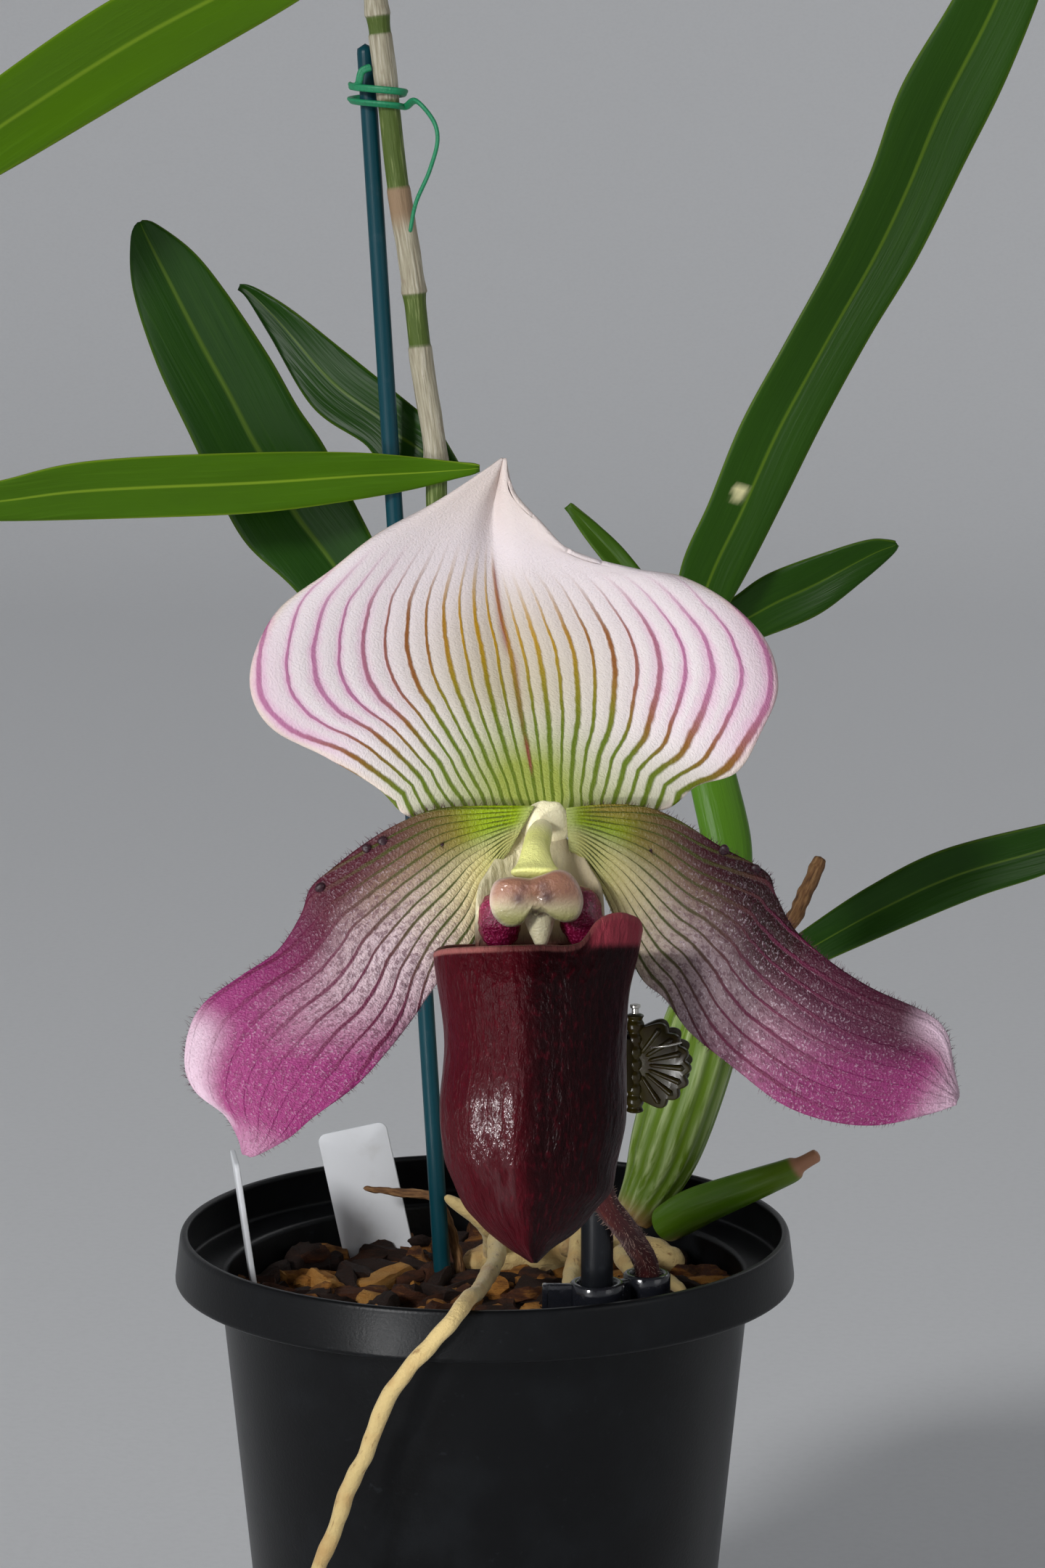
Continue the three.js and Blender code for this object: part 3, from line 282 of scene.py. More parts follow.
def rough(points, size, seed=0.0):
    """Smooth noise from about -1 to 1 at each point, with features of a size in millimetres."""
    flat = np.asarray(points, float).reshape(-1, 3) / size + seed * 7.31
    return np.array([noise.noise(Vector(p)) for p in flat]).reshape(np.shape(points)[:-1])


# Meshes

class Part:
    """A closed surface in millimetres, with named values for each of its points."""

    def __init__(self, points, faces, values=None, material=0):
        self.points = np.asarray(points, float).reshape(-1, 3)
        self.faces = faces
        self.values = values or {}
        self.material = material


def grid_faces(rows, columns, closed=False):
    """Quads of a grid of points; closed joins its last column to its first."""
    r = np.arange(rows - 1)[:, None] * columns
    c = np.arange(columns if closed else columns - 1)[None]
    n = (c + 1) % columns
    return np.stack([r + c, r + n, r + n + columns, r + c + columns], -1).reshape(-1, 4).tolist()


def ringed(rings, values=None, material=0):
    """Closed surface through rings of points, with a fan at each end."""
    count, sides = rings.shape[:2]
    points = np.vstack([rings.reshape(-1, 3), rings[0].mean(0), rings[-1].mean(0)])
    faces = grid_faces(count, sides, closed=True)
    first, last, top = count * sides, count * sides + 1, (count - 1) * sides
    for i in range(sides):
        after = (i + 1) % sides
        faces += [(first, after, i), (last, top + i, top + after)]
    padded = {}
    for name, value in (values or {}).items():
        value = np.broadcast_to(value, (count, sides, *np.shape(value)[2:]))
        ends = np.stack([value[0].mean(0), value[-1].mean(0)])
        padded[name] = np.concatenate([value.reshape(-1, *value.shape[2:]), ends])
    return Part(points, faces, padded, material)


def blob(centre, radii, levels, sides, lump_size, seed, lump_height, axes=(0, 1, 2), material=0):
    """Rounded lump with a rough surface; axes gives the order in which x, y and z are taken."""
    a = np.linspace(0, math.pi, levels)[1:-1, None]
    b = np.linspace(0, FULL_TURN, sides, endpoint=False)
    ball = np.stack([np.sin(a) * np.cos(b), np.sin(a) * np.sin(b), np.cos(a) + 0 * b], -1)
    rings = ball[..., axes] * radii + centre
    rings = rings + unit(rings - centre) * rough(rings, lump_size, seed)[..., None] * lump_height
    return ringed(rings, material=material)


def blade_grid(left, right, across, along, middle=None):
    """A blade between two drawn edges: s across, v along, its points' pixels and its half width in
    millimetres at the flower's plane. middle, if given, bows its rows."""
    start, end = edge_points(left, along), edge_points(right, along)
    centre = (start + end) / 2
    bow = centre * 0
    if middle is not None:
        centre = edge_points(middle, along)
        bow = (start + end) / 2 - centre
    s = np.linspace(-1, 1, across + 1)
    v = np.linspace(0, 1, along + 1)[:, None]
    side = s[:, None]
    pixels = centre[:, None] + (end - start)[:, None] / 2 * side + bow[:, None] * side * side
    half_width = np.linalg.norm(pixels[:, -1:] - pixels[:, :1], axis=2) / 2 * FLOWER_PLANE * PIXEL
    return s[None], v, pixels[..., 0], pixels[..., 1], half_width


def sheet(rows, thickness, values=None, thin=0.4):
    """Closed blade round a grid of points, thinner towards its margins, front face to the viewer."""
    count, columns = rows.shape[:2]
    normal = unit(np.cross(np.gradient(rows, axis=1), np.gradient(rows, axis=0)))
    facing = -1 if (normal @ AHEAD).mean() > 0 else 1
    s = np.linspace(-1, 1, columns)[None]
    v = np.linspace(-1, 1, count)[:, None]
    edge = 1 - np.maximum(np.abs(s) ** 12, np.abs(v) ** 40)
    half = (thickness / 2 * mix(thin, 1, edge))[..., None] * facing
    faces = grid_faces(count, columns)
    behind = count * columns
    faces += [[behind + i for i in reversed(quad)] for quad in faces]
    place = np.arange(behind).reshape(count, columns)
    border = [*place[0, :-1], *place[:-1, -1], *place[-1, :0:-1], *place[:0:-1, 0]]
    for a, b in zip(border, border[1:] + border[:1]):
        faces.append((int(b), int(a), int(behind + a), int(behind + b)))
    across = np.cumsum(np.linalg.norm(np.diff(rows, axis=1, prepend=rows[:, :1]), axis=2), axis=1)
    across -= across[:, -1:] / 2
    along = np.cumsum(np.linalg.norm(np.diff(rows, axis=0, prepend=rows[:1]), axis=2), axis=0)
    along = np.broadcast_to(along.mean(1, keepdims=True), across.shape)
    both = {name: np.tile(np.broadcast_to(value, (count, columns)).ravel(), 2)
            for name, value in {"across": s, **(values or {})}.items()}
    both["grain"] = np.concatenate([
        np.stack([across, along, np.full(across.shape, side)], -1).reshape(-1, 3) for side in (1, -1)])
    points = [(rows + normal * offset).reshape(-1, 3) for offset in (half, -half)]
    return Part(np.concatenate(points), faces, both)


def tube(points, radius, sides, steps, reach=0.02, ends=(1, 1), flat=None, lump=None, values=None,
         material=0):
    """Closed round stem along a smooth route.

    radius is a number, (place, radius) pairs from foot to tip, or a function of the place. Its ends are
    rounded over the share reach of its length, each as fully as ends says. flat gives the share that is
    left from front to back, and lump(t, angle, place) is added to the radius.
    """
    centres = smooth_route(points, steps) if len(points) > 2 else evenly(np.asarray(points, float), steps)
    ahead = unit(np.gradient(centres, axis=0))
    t = np.linspace(0, 1, steps + 1)
    if flat is not None:
        side = unit(np.array([1.0, 0, 0]) - ahead * ahead[:, :1])
    else:
        side = np.zeros_like(ahead)
        side[0] = unit(np.cross(ahead[0], [0.31, 0.95, 0.11]))
        for i in range(1, len(side)):
            side[i] = unit(side[i - 1] - ahead[i] * (side[i - 1] @ ahead[i]))
    rear = np.cross(ahead, side)
    if isinstance(radius, list):
        radius = through(*radius)
    size = radius(t) if callable(radius) else radius + 0 * t
    if reach:
        for place, share in zip((t, 1 - t), ends):
            dome = np.sqrt(np.clip(1 - (1 - np.clip(place / reach, 0, 1)) ** 2, 0.0004, 1))
            size = size * mix(1, dome, share)
    t, size = t[:, None], size[:, None]
    angle = np.linspace(0, FULL_TURN, sides, endpoint=False)[None]
    outward = side[:, None] * np.cos(angle)[..., None] + rear[:, None] * np.sin(angle)[..., None]
    if lump is not None:
        size = size + lump(t, angle, centres[:, None] + outward * (size + 0 * angle)[..., None])
    x, y = size * np.cos(angle), size * np.sin(angle)
    depth = y * flat(t) if flat is not None else y
    rings = centres[:, None] + side[:, None] * x[..., None] + rear[:, None] * depth[..., None]
    run = np.linalg.norm(np.diff(centres, axis=0), axis=1).sum()
    named = {name: np.broadcast_to(value(t, angle), x.shape) for name, value in (values or {}).items()}
    named["grain"] = np.stack([x, y, t * run + 0 * angle], -1)
    return ringed(rings, named, material)


def knobbly(size, height, seed):
    """Uneven skin for a stem: soft knobs of a size and height."""
    return lambda t, angle, place: rough(place, size, seed) * height


def rounded(profile, size, steps=4):
    """A profile of (radius, height) pairs with its inner corners rounded."""
    p = np.asarray(profile, float)
    out = [p[0]]
    for a, b, c in zip(p, p[1:], p[2:]):
        before, after = a - b, c - b
        reach = min(size, np.linalg.norm(before) / 2.2, np.linalg.norm(after) / 2.2)
        start, end = b + unit(before) * reach, b + unit(after) * reach
        for w in np.linspace(0, 1, steps + 1):
            out.append((1 - w) ** 2 * start + 2 * w * (1 - w) * b + w ** 2 * end)
    out.append(p[-1])
    return np.array(out)


def turned(profile, segments, centre=(0, 0, 0), values=None, material=0):
    """Lathe of a profile of (radius, height) pairs that starts and ends on the axis."""
    p = np.asarray(profile, float)
    angle = np.linspace(0, FULL_TURN, segments, endpoint=False)
    radius, height = p[1:-1, :1], p[1:-1, 1:]
    rings = np.stack([radius * np.cos(angle), radius * np.sin(angle), height + 0 * angle], -1)
    part = ringed(rings, values, material)
    part.points[-2:] = (0, 0, p[0, 1]), (0, 0, p[-1, 1])
    part.points += centre
    return part


def extruded(outline, depth, basis, centre, bevel=0.2):
    """Plate with rounded edges from a flat outline; basis holds its side, up and out directions."""
    flat = np.asarray(outline, float)
    inward = unit(np.roll(flat, -1, axis=0) - np.roll(flat, 1, axis=0))[:, ::-1] * (-1, 1)
    area = np.sum(flat[:, 0] * np.roll(flat[:, 1], -1) - flat[:, 1] * np.roll(flat[:, 0], -1))
    inward *= np.sign(area)
    rings = [(flat + inward * shrink, -depth / 2 + level)
             for shrink, level in ((bevel, 0), (bevel * 0.3, bevel * 0.3), (0, bevel))]
    rings += [(ring, -level) for ring, level in reversed(rings)]
    solid = np.stack([np.column_stack([ring, np.full(len(ring), level)]) for ring, level in rings])
    return ringed(solid @ np.asarray(basis, float) + centre)


def hairs(roots, directions, lengths, width, material, seed, droop=0.15):
    """Tapered hairs: three-sided, with one bend."""
    random = np.random.default_rng(seed)
    directions = unit(directions)
    helper = unit(np.cross(directions, random.normal(size=directions.shape)))
    third = np.cross(directions, helper)
    bend = random.normal(size=directions.shape) * 0.12
    bend[:, 2] -= droop
    points = []
    for share, thick in ((-0.05, 1.0), (0.5, 0.7), (1.0, 0.15)):
        middle = roots + (directions * share + bend * share * share) * lengths[:, None]
        for k in range(3):
            turn = FULL_TURN * k / 3
            offset = helper * math.cos(turn) + third * math.sin(turn)
            points.append(middle + offset * (width / 2 * thick))
    pattern = [(2, 1, 0), (6, 7, 8)]
    for level in (0, 3):
        for k in range(3):
            n = (k + 1) % 3
            pattern.append((level + k, level + n, level + n + 3, level + k + 3))
    faces = [[base * 9 + i for i in face] for base in range(len(roots)) for face in pattern]
    along = np.tile(np.repeat([0.0, 0.5, 1.0], 3), len(roots))
    return Part(np.stack(points, 1), faces, {"along": along}, material)


def joined_mesh(name, parts, materials=()):
    """One mesh in metres from its parts, with their named values and materials."""
    faces, indices, start = [], [], 0
    for part in parts:
        faces += [[start + i for i in face] for face in part.faces]
        indices += [part.material] * len(part.faces)
        start += len(part.points)
    mesh = bpy.data.meshes.new(name)
    mesh.from_pydata(np.concatenate([part.points for part in parts]) * MM, [], faces)
    for value_name in sorted({key for part in parts for key in part.values}):
        vector = value_name == "grain"
        stacked = np.concatenate([
            np.asarray(part.values.get(value_name, np.zeros((len(part.points), 3 if vector else 1))),
                       np.float32).ravel()
            for part in parts
        ])
        attribute = mesh.attributes.new(value_name, "FLOAT_VECTOR" if vector else "FLOAT", "POINT")
        attribute.data.foreach_set("vector" if vector else "value", stacked)
    for material in materials:
        mesh.materials.append(material)
    mesh.polygons.foreach_set("material_index", indices)
    shape = bmesh.new()
    shape.from_mesh(mesh)
    bmesh.ops.recalc_face_normals(shape, faces=shape.faces)
    shape.to_mesh(mesh)
    shape.free()
    mesh.shade_smooth()
    return mesh


def show(name, data):
    """An object of its data, put into the scene."""
    item = bpy.data.objects.new(name, data)
    bpy.context.scene.collection.objects.link(item)
    return item


def make_piece(node, parts, materials, name=None, crease=None):
    """One piece from its parts: it rides with the pot and stands for one of the packed nodes."""
    name = f"{name or node}_dressed"
    mesh = joined_mesh(name, parts, materials)
    if crease:
        mesh.set_sharp_from_angle(angle=math.radians(crease))
    piece = show(name, mesh)
    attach(piece, "root")
    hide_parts(node)
    return piece


# Materials

# Our word for a node: its Blender type, the output that is used, its slots in order, and what is preset.
# A noise with a scale of 1 / 0.4 has features of 0.4 mm, because "in mm" and "grain" count in millimetres
NODES = {
    "value": ("ShaderNodeAttribute", "Fac", ["attribute_name"], {}),
    "grain": ("ShaderNodeAttribute", "Vector", [], {"attribute_name": "grain"}),
    "place": ("ShaderNodeTexCoord", "Object", [], {}),
    "in mm": ("ShaderNodeVectorMath", 0, [0], {"operation": "SCALE", 3: 1 / MM}),
    "stretched": ("ShaderNodeVectorMath", 0, [0, 1], {"operation": "MULTIPLY"}),
    "noise": ("ShaderNodeTexNoise", "Fac", ["Vector", "Scale", "Detail", "Roughness"],
              {"Detail": 3.0, "Roughness": 0.55}),
    "between": ("ShaderNodeMapRange", 0, [0, 1, 2, 3, 4], {"interpolation_type": "SMOOTHSTEP"}),
    "times": ("ShaderNodeMath", 0, [0, 1], {"operation": "MULTIPLY"}),
    "plus": ("ShaderNodeMath", 0, [0, 1], {"operation": "ADD"}),
    "minus": ("ShaderNodeMath", 0, [0, 1], {"operation": "SUBTRACT"}),
    "larger": ("ShaderNodeMath", 0, [0, 1], {"operation": "MAXIMUM"}),
    "whole": ("ShaderNodeMath", 0, [0], {"operation": "ROUND"}),
    "size": ("ShaderNodeMath", 0, [0], {"operation": "ABSOLUTE"}),
    "to and fro": ("ShaderNodeMath", 0, [0, 1], {"operation": "PINGPONG"}),
    "ramp": ("ShaderNodeValToRGB", 0, [0], {}),
    "coat": ("ShaderNodeMix", 2, [0, 6, 7], {"data_type": "RGBA"}),
    "bump": ("ShaderNodeBump", 0, ["Height", "Distance", "Strength", "Normal"], {"Strength": 1.0}),
}


def connect(tree, node, key, value):
    """Links or sets one input. A hex value is a colour, any other text names a value of the mesh, and a
    list is a ground colour with coats of (mask, colour) over it."""
    if isinstance(value, list):
        value, *coats = value
        for mask, coat in coats:
            value = add(tree, "coat", mask, value, coat)
    if isinstance(value, str):
        value = linear(value) if value.startswith("#") else add(tree, "value", value)
    if isinstance(value, bpy.types.NodeSocket):
        tree.links.new(value, node.inputs[key])
    else:
        node.inputs[key].default_value = value


def add(tree, word, *values, stops=()):
    """Adds a node of the table: its settings, its ramp's stops, and the values or links of its slots."""
    kind, output, slots, preset = NODES[word]
    node = tree.nodes.new(kind)
    for key, value in {**preset, **dict(zip(slots, values))}.items():
        if isinstance(key, str) and hasattr(node, key):
            setattr(node, key, value)
        else:
            connect(tree, node, key, value)
    for i, (place, tone) in enumerate(stops):
        element = node.color_ramp.elements[i] if i < 2 else node.color_ramp.elements.new(place)
        element.position = place
        element.color = linear(tone) if isinstance(tone, str) else tone
    return node.outputs[output]


def made_of(skin, name=None, *details):
    """The material that a function below describes. Unless it is told a name, that is what the text of the
    function starts with. The function gets a way to add nodes and gives back the shader's inputs."""
    material = bpy.data.materials.new(name or skin.__doc__.split(":")[0])
    material.use_nodes = True
    tree = material.node_tree
    for key, value in skin(partial(add, tree), *details).items():
        connect(tree, tree.nodes["Principled BSDF"], key, value)
    return material


def polypropylene(node):
    """Moulded black polypropylene: satin from the mould's fine grain, greyed by dust and water marks."""
    place = node("in mm", node("place"))
    dust = node("between", node("noise", place, 1 / 14, 5), 0.45, 0.75)
    speck = node("between", node("noise", place, 1 / 1.3, 2), 0.66, 0.74)
    marks = node("larger", node("times", dust, 0.28), node("times", speck, 0.35))
    return {
        "Base Color": [settings("planter").pot, (marks, "#22262a")],
        "Roughness": node("between", marks, 0, 1, 0.34, 0.62),
        "IOR": 1.49, "Specular IOR Level": 0.2,
        "Normal": node("bump", node("noise", place, 1 / 0.5), 0.03 * MM),
    }


def pine_bark(node):
    """Pine bark chips: cork in layers, so matt and flaky, golden where fresh and dark where weathered."""
    planter = settings("planter")
    place = node("in mm", node("place"))
    layers = node("noise", node("stretched", place, (0.35, 0.35, 1.6)), 1 / 1.4, 6, 0.65)
    shift = node("plus", node("times", layers, 0.9), node("minus", "tint", 0.45))
    tone = node("ramp", shift, stops=[(0.2, planter.bark_dark), (0.5, "#4e2810"),
                                      (0.78, planter.bark_light), (1.0, "#b88848")])
    cracks = node("bump", layers, 0.9 * MM)
    return {"Base Color": tone, "Roughness": 0.88, "IOR": 1.45,
            "Normal": node("bump", node("noise", place, 1 / 0.35, 4), 0.15 * MM, 1, cracks)}


def root_skin(node):
    """Dry orchid root skin: spongy velamen full of air, so chalky cream, with brown scuffs."""
    place = node("in mm", node("place"))
    patches = node("between", node("noise", place, 1 / 7, 4), 0.48, 0.7)
    lengthwise = node("stretched", node("grain"), (1, 1, 1 / 3))
    scuffs = node("between", node("noise", lengthwise, 1 / 0.9, 4), 0.6, 0.75)
    return {
        "Base Color": [settings("planter").root, (patches, "#c9a266"), (scuffs, "#9a7444")],
        "Roughness": 0.75, "Sheen Weight": 0.2,
        "Normal": node("bump", node("noise", place, 1 / 0.6, 5), 0.25 * MM),
    }


def dry_wood(node):
    """Dead root fibre: shrivelled strands, so brown, matt and streaked along its length."""
    fibre = node("noise", node("stretched", node("grain"), (1, 1, 1 / 8)), 1 / 0.4, 5)
    tone = node("ramp", fibre, stops=[(0.25, "#3a2416"), (0.5, "#7d5734"), (0.8, "#b08a5c")])
    return {"Base Color": tone, "Roughness": 0.85, "Normal": node("bump", fibre, 0.3 * MM)}


def label_card(node):
    """Matt white polystyrene label: left blank, a little see-through at its edge, faintly scuffed."""
    place = node("in mm", node("place"))
    scuff = node("between", node("noise", place, 1 / 6, 5), 0.5, 0.8)
    return {
        "Base Color": [settings("planter").tag, (node("times", scuff, 0.3), "#b9b4a8")],
        "Roughness": 0.5, "IOR": 1.59, "Subsurface Weight": 0.1, "Subsurface Radius": (0.002, 0.002, 0.002),
        "Normal": node("bump", node("noise", place, 1 / 0.8, 2), 0.02 * MM),
    }


def coated_stake(node, tone, roughness):
    """Coated stake: drawn plastic over steel, so satin with faint lines along it, and dusty."""
    lines = node("noise", node("stretched", node("grain"), (1, 1, 1 / 60)), 1 / 0.35, 2)
    dust = node("between", node("noise", node("in mm", node("place")), 1 / 3, 5), 0.55, 0.8)
    return {
        "Base Color": [tone, (node("times", dust, 0.12), "#6d767c")],
        "Roughness": roughness, "IOR": 1.5, "Specular IOR Level": 0.25,
        "Normal": node("bump", lines, 0.04 * MM),
    }


def smoked_plastic(node):
    """Smoked polycarbonate: clear but dyed almost black, so glossy and dark, lighter at thin edges."""
    place = node("in mm", node("place"))
    return {
        "Base Color": "#2a2c34", "IOR": 1.585, "Transmission Weight": 0.45,
        "Roughness": node("between", node("noise", place, 1 / 1.2, 4), 0.4, 0.8, 0.12, 0.35),
        "Normal": node("bump", node("noise", place, 1 / 1.5, 2), 0.03 * MM),
    }


def amber_plastic(node):
    """Clear amber acrylic: light comes through it yellow, so it is olive black where it is thick."""
    place = node("in mm", node("place"))
    cloud = node("between", node("noise", place, 1 / 3), 0.35, 0.7)
    return {
        "Base Color": [settings("planter").amber, (cloud, "#2c2006")],
        "Roughness": 0.28, "IOR": 1.49, "Specular IOR Level": 0.2, "Transmission Weight": 0.3,
        "Normal": node("bump", node("noise", place, 1 / 1.5, 2), 0.03 * MM),
    }


def bright_steel(node):
    """Drawn steel wire: bare metal, so bright, with fine marks from the drawing."""
    marks = node("noise", node("in mm", node("place")), 1 / 0.2, 2)
    return {"Base Color": "#c9c6bf", "Metallic": 1.0,
            "Roughness": node("between", marks, 0.3, 0.7, 0.18, 0.4)}


def tie_coating(node):
    """Green vinyl tie: soft vinyl over wire, so satin, and creased across where it has been bent."""
    creases = node("noise", node("stretched", node("grain"), (1, 1, 1 / 0.6)), 1 / 0.5)
    worn = node("between", creases, 0.5, 0.8, 0, 0.5)
    return {"Base Color": [settings("planter").tie, (worn, "#0c4a34")], "Roughness": 0.45,
            "IOR": 1.53, "Normal": node("bump", creases, 0.1 * MM)}


def vein_lines(node, grain, even, odd, wobble):
    """Lines where the vein count is whole, and a wide halo round each. Even and odd ones have their own
    widths in millimetres."""
    drift = node("times", node("minus", node("noise", grain, 1 / 4), 0.5), wobble)
    count = node("plus", "vein", drift)
    nearest = node("whole", count)
    away = node("times", node("size", node("minus", count, nearest)), "vein_gap")
    width = node("between", node("to and fro", nearest, 1.0), 0, 1, even, odd)
    ragged = node("between", node("noise", grain, 1 / 1.3, 2), 0.3, 0.7, 0.85, 1.15)
    wide = node("times", node("times", width, "vein_width"), ragged)
    line = node("between", away, node("times", wide, 0.35), wide, 1, 0)
    halo = node("between", away, 0, node("times", wide, 3.2), 1, 0)
    return line, halo


def dorsal_skin(node):
    """Glistening sepal skin: clear cells over white, so it sparkles between green, brown and pink veins."""
    flower = settings("flower")
    grain = node("grain")
    line, halo = vein_lines(node, grain, 0.64, 0.42, 0.2)
    ink = node("times", line, "vein_ink")
    glow = node("times", node("times", halo, "vein_glow"), 0.55)
    # The straw tint down the middle is partly the sepal's own straw colour, partly painted shade in its
    # central groove
    ground = [flower.sepal, ("tint_green", "#8c9640"), ("tint_pink", "#c795b4"),
              ("tint_cream", "#d8c8bc"), ("tint_straw", "#9c8c58"), (glow, "#cf8fb8")]
    vein = [flower.sepal_green, ("vein_ochre", "#a87f0c"), ("vein_brown", flower.sepal_brown),
            ("vein_pink", flower.sepal_pink)]
    # The cells are 0.1 mm across in life: drawn three times coarser, so that they show
    cells = node("noise", grain, 1 / 0.3, 2)
    return {
        "Base Color": [ground, (ink, vein), ("spot", "#7c2c2c")],
        "Roughness": node("between", cells, 0.35, 0.7, 0.62, 0.3), "IOR": 1.42, "Specular IOR Level": 0.35,
        "Subsurface Weight": 0.06, "Subsurface Radius": (0.0008, 0.0006, 0.0004),
        "Normal": node("bump", ink, 0.12 * MM, 0.6, node("bump", cells, 0.14 * MM)),
    }


def petal_skin(node):
    """Waxy petal skin: red sap under clear cells, so wine and magenta with a fine silvery glitter."""
    flower = settings("flower")
    grain = node("grain")
    line, _ = vein_lines(node, grain, 0.5, 0.36, 0.22)
    patches = node("noise", node("stretched", grain, (1, 1 / 2.2, 1)), 1 / 0.42, 3, 0.6)
    speckle = node("times", node("times", node("between", patches, 0.46, 0.62), "speckle"), 0.6)
    # The cells are 0.1 mm across in life: drawn three times coarser, so that they sparkle; pale specks on
    # some are painted glints
    cells = node("noise", grain, 1 / 0.3, 2)
    glitter = node("times", node("times", node("between", cells, 0.56, 0.68), "speckle"), 0.45)
    vein = ["#5f1438", ("olive_vein", "#3f4a08")]
    # The near black coat is painted shade, on the shaded petal and along the upper margins
    tone = [flower.petal, ("straw", "#cbc084"), ("olive", flower.petal_olive), ("brown", "#7c6028"),
            ("wine", flower.petal_wine), ("magenta", flower.petal_magenta), ("shade", "#260507"),
            ("pale", "#ceb2c2"), ("cream", "#c9d08c"), (speckle, "#4e1830"), (glitter, "#dccbd6"),
            (node("times", line, "vein_ink"), vein)]
    return {
        "Base Color": tone, "Roughness": node("between", cells, 0.35, 0.7, 0.46, 0.2), "IOR": 1.45,
        "Specular IOR Level": 0.35, "Subsurface Weight": 0.04,
        "Subsurface Radius": (0.0012, 0.0006, 0.0007),
        "Normal": node("bump", line, 0.2 * MM, 0.5, node("bump", cells, 0.2 * MM)),
    }


def hair_fibre(node, tone):
    """Plant hair: a fine bristle, slightly glossy, lighter towards its tip where light comes through."""
    foot = linear(tone)
    tip = [min(channel * 1.6, 1) for channel in foot]
    tone = node("ramp", "along", stops=[(0, foot), (1, tip)])
    return {"Base Color": tone, "Roughness": 0.45, "IOR": 1.5}


def pouch_skin(node):
    """Waxy pouch skin: wax over cells of red sap, so deep wine with soft, wrinkled highlights."""
    flower = settings("flower")
    grain = node("grain")
    wrinkle = node("noise", node("stretched", grain, (1, 1 / 2.6, 1)), 1 / 1.5, 4)
    net = node("noise", node("stretched", grain, (1, 1 / 2, 1)), 1 / 0.7)
    # The near black coat is painted shade on the bag's right side, away from the light
    tone = [flower.pouch, ("dark", "#150103"), (node("between", net, 0.5, 0.75, 0, 0.2), "#6a0a20"),
            ("inside", "#6e1426"), ("ear", "#8a3440"), ("rim", "#8c5450"), ("cream", flower.column)]
    bumps = node("bump", net, 0.15 * MM, 1, node("bump", wrinkle, 0.7 * MM))
    return {
        "Base Color": tone, "Roughness": node("between", wrinkle, 0.3, 0.7, 0.42, 0.3), "IOR": 1.42,
        "Specular IOR Level": 0.12, "Coat Roughness": 0.16, "Coat Tint": "#ffc4dc",
        "Coat Weight": node("times", "wax", node("between", wrinkle, 0.42, 0.56, 0.15, 1)),
        "Normal": bumps, "Coat Normal": bumps,
    }


def column_skin(node):
    """Waxy column tissue: firm and moist, so softly lit through, in cream, yellow and pinkish brown."""
    cells = node("noise", node("in mm", node("place")), 1 / 0.4)
    beads = node("times", "brown", node("between", cells, 0.5, 0.75, 0, 0.3))
    tone = [settings("flower").column, ("yellow", "#e2e480"), ("brown", "#98654f"),
            ("green", "#a0a040"), ("white", "#e0cfc4"), ("mark", "#4a3038"), (beads, "#7c4450")]
    return {
        "Base Color": tone, "Roughness": 0.34, "IOR": 1.45, "Subsurface Weight": 0.1,
        "Subsurface Radius": (0.001, 0.0008, 0.0005), "Coat Weight": 0.2,
        "Normal": node("bump", cells, 0.15 * MM),
    }


def lobe_skin(node):
    """Beaded pouch lobe: swollen cells of red sap, so magenta red with many small highlights."""
    cells = node("noise", node("in mm", node("place")), 1 / 0.35, 2)
    return {
        "Base Color": ["#7a1038", (node("between", cells, 0.5, 0.7), "#b83c70")],
        "Roughness": 0.25, "Coat Weight": 0.4, "Coat Roughness": 0.15,
        "Normal": node("bump", cells, 0.25 * MM),
    }


def stem_skin(node):
    """Furrowed flower stem: soft green skin under purple sap, so dark, dull and streaked lengthwise."""
    streak = node("noise", node("stretched", node("grain"), (1, 1, 1 / 10)), 1 / 0.5, 4)
    return {
        "Base Color": [settings("plant").stem, (node("between", streak, 0.5, 0.75, 0, 0.6), "#5e2c22"),
                       ("old", "#4c3422")],
        "Roughness": 0.55, "Specular IOR Level": 0.2, "Sheen Weight": 0.08,
        "Normal": node("bump", streak, 0.2 * MM),
    }


def bract_skin(node):
    """Leathery bract: a tough sheath, so dull olive, streaked with purple along its veins."""
    streak = node("noise", node("stretched", node("grain"), (1, 1 / 12, 1)), 1 / 0.6, 4)
    return {
        "Base Color": [settings("plant").bract, (node("between", streak, 0.45, 0.7), "#5a2f2c")],
        "Roughness": 0.55, "Specular IOR Level": 0.2, "Sheen Weight": 0.08,
        "Normal": node("bump", streak, 0.2 * MM),
    }


def cane_skin(node):
    """Cane with papery sheaths: green skin under dead, wrinkled paper that has gone white and brown."""
    plant = settings("plant")
    fibre = node("noise", node("stretched", node("grain"), (1, 1, 1 / 14)), 1 / 0.45, 5)
    blotch = node("noise", node("in mm", node("place")), 1 / 3, 5)
    paper = node("ramp", fibre, stops=[(0.25, "#857a66"), (0.5, plant.sheath), (0.8, "#dcd6c6")])
    paper = [paper, ("brown", "#9a7f62"), (node("between", blotch, 0.58, 0.75, 0, 0.6), "#8a6a5a")]
    return {
        "Base Color": [plant.cane, (node("between", fibre, 0.5, 0.8, 0, 0.5), "#c2cc8a"), ("paper", paper)],
        "Roughness": 0.62, "Normal": node("bump", fibre, 0.3 * MM),
    }


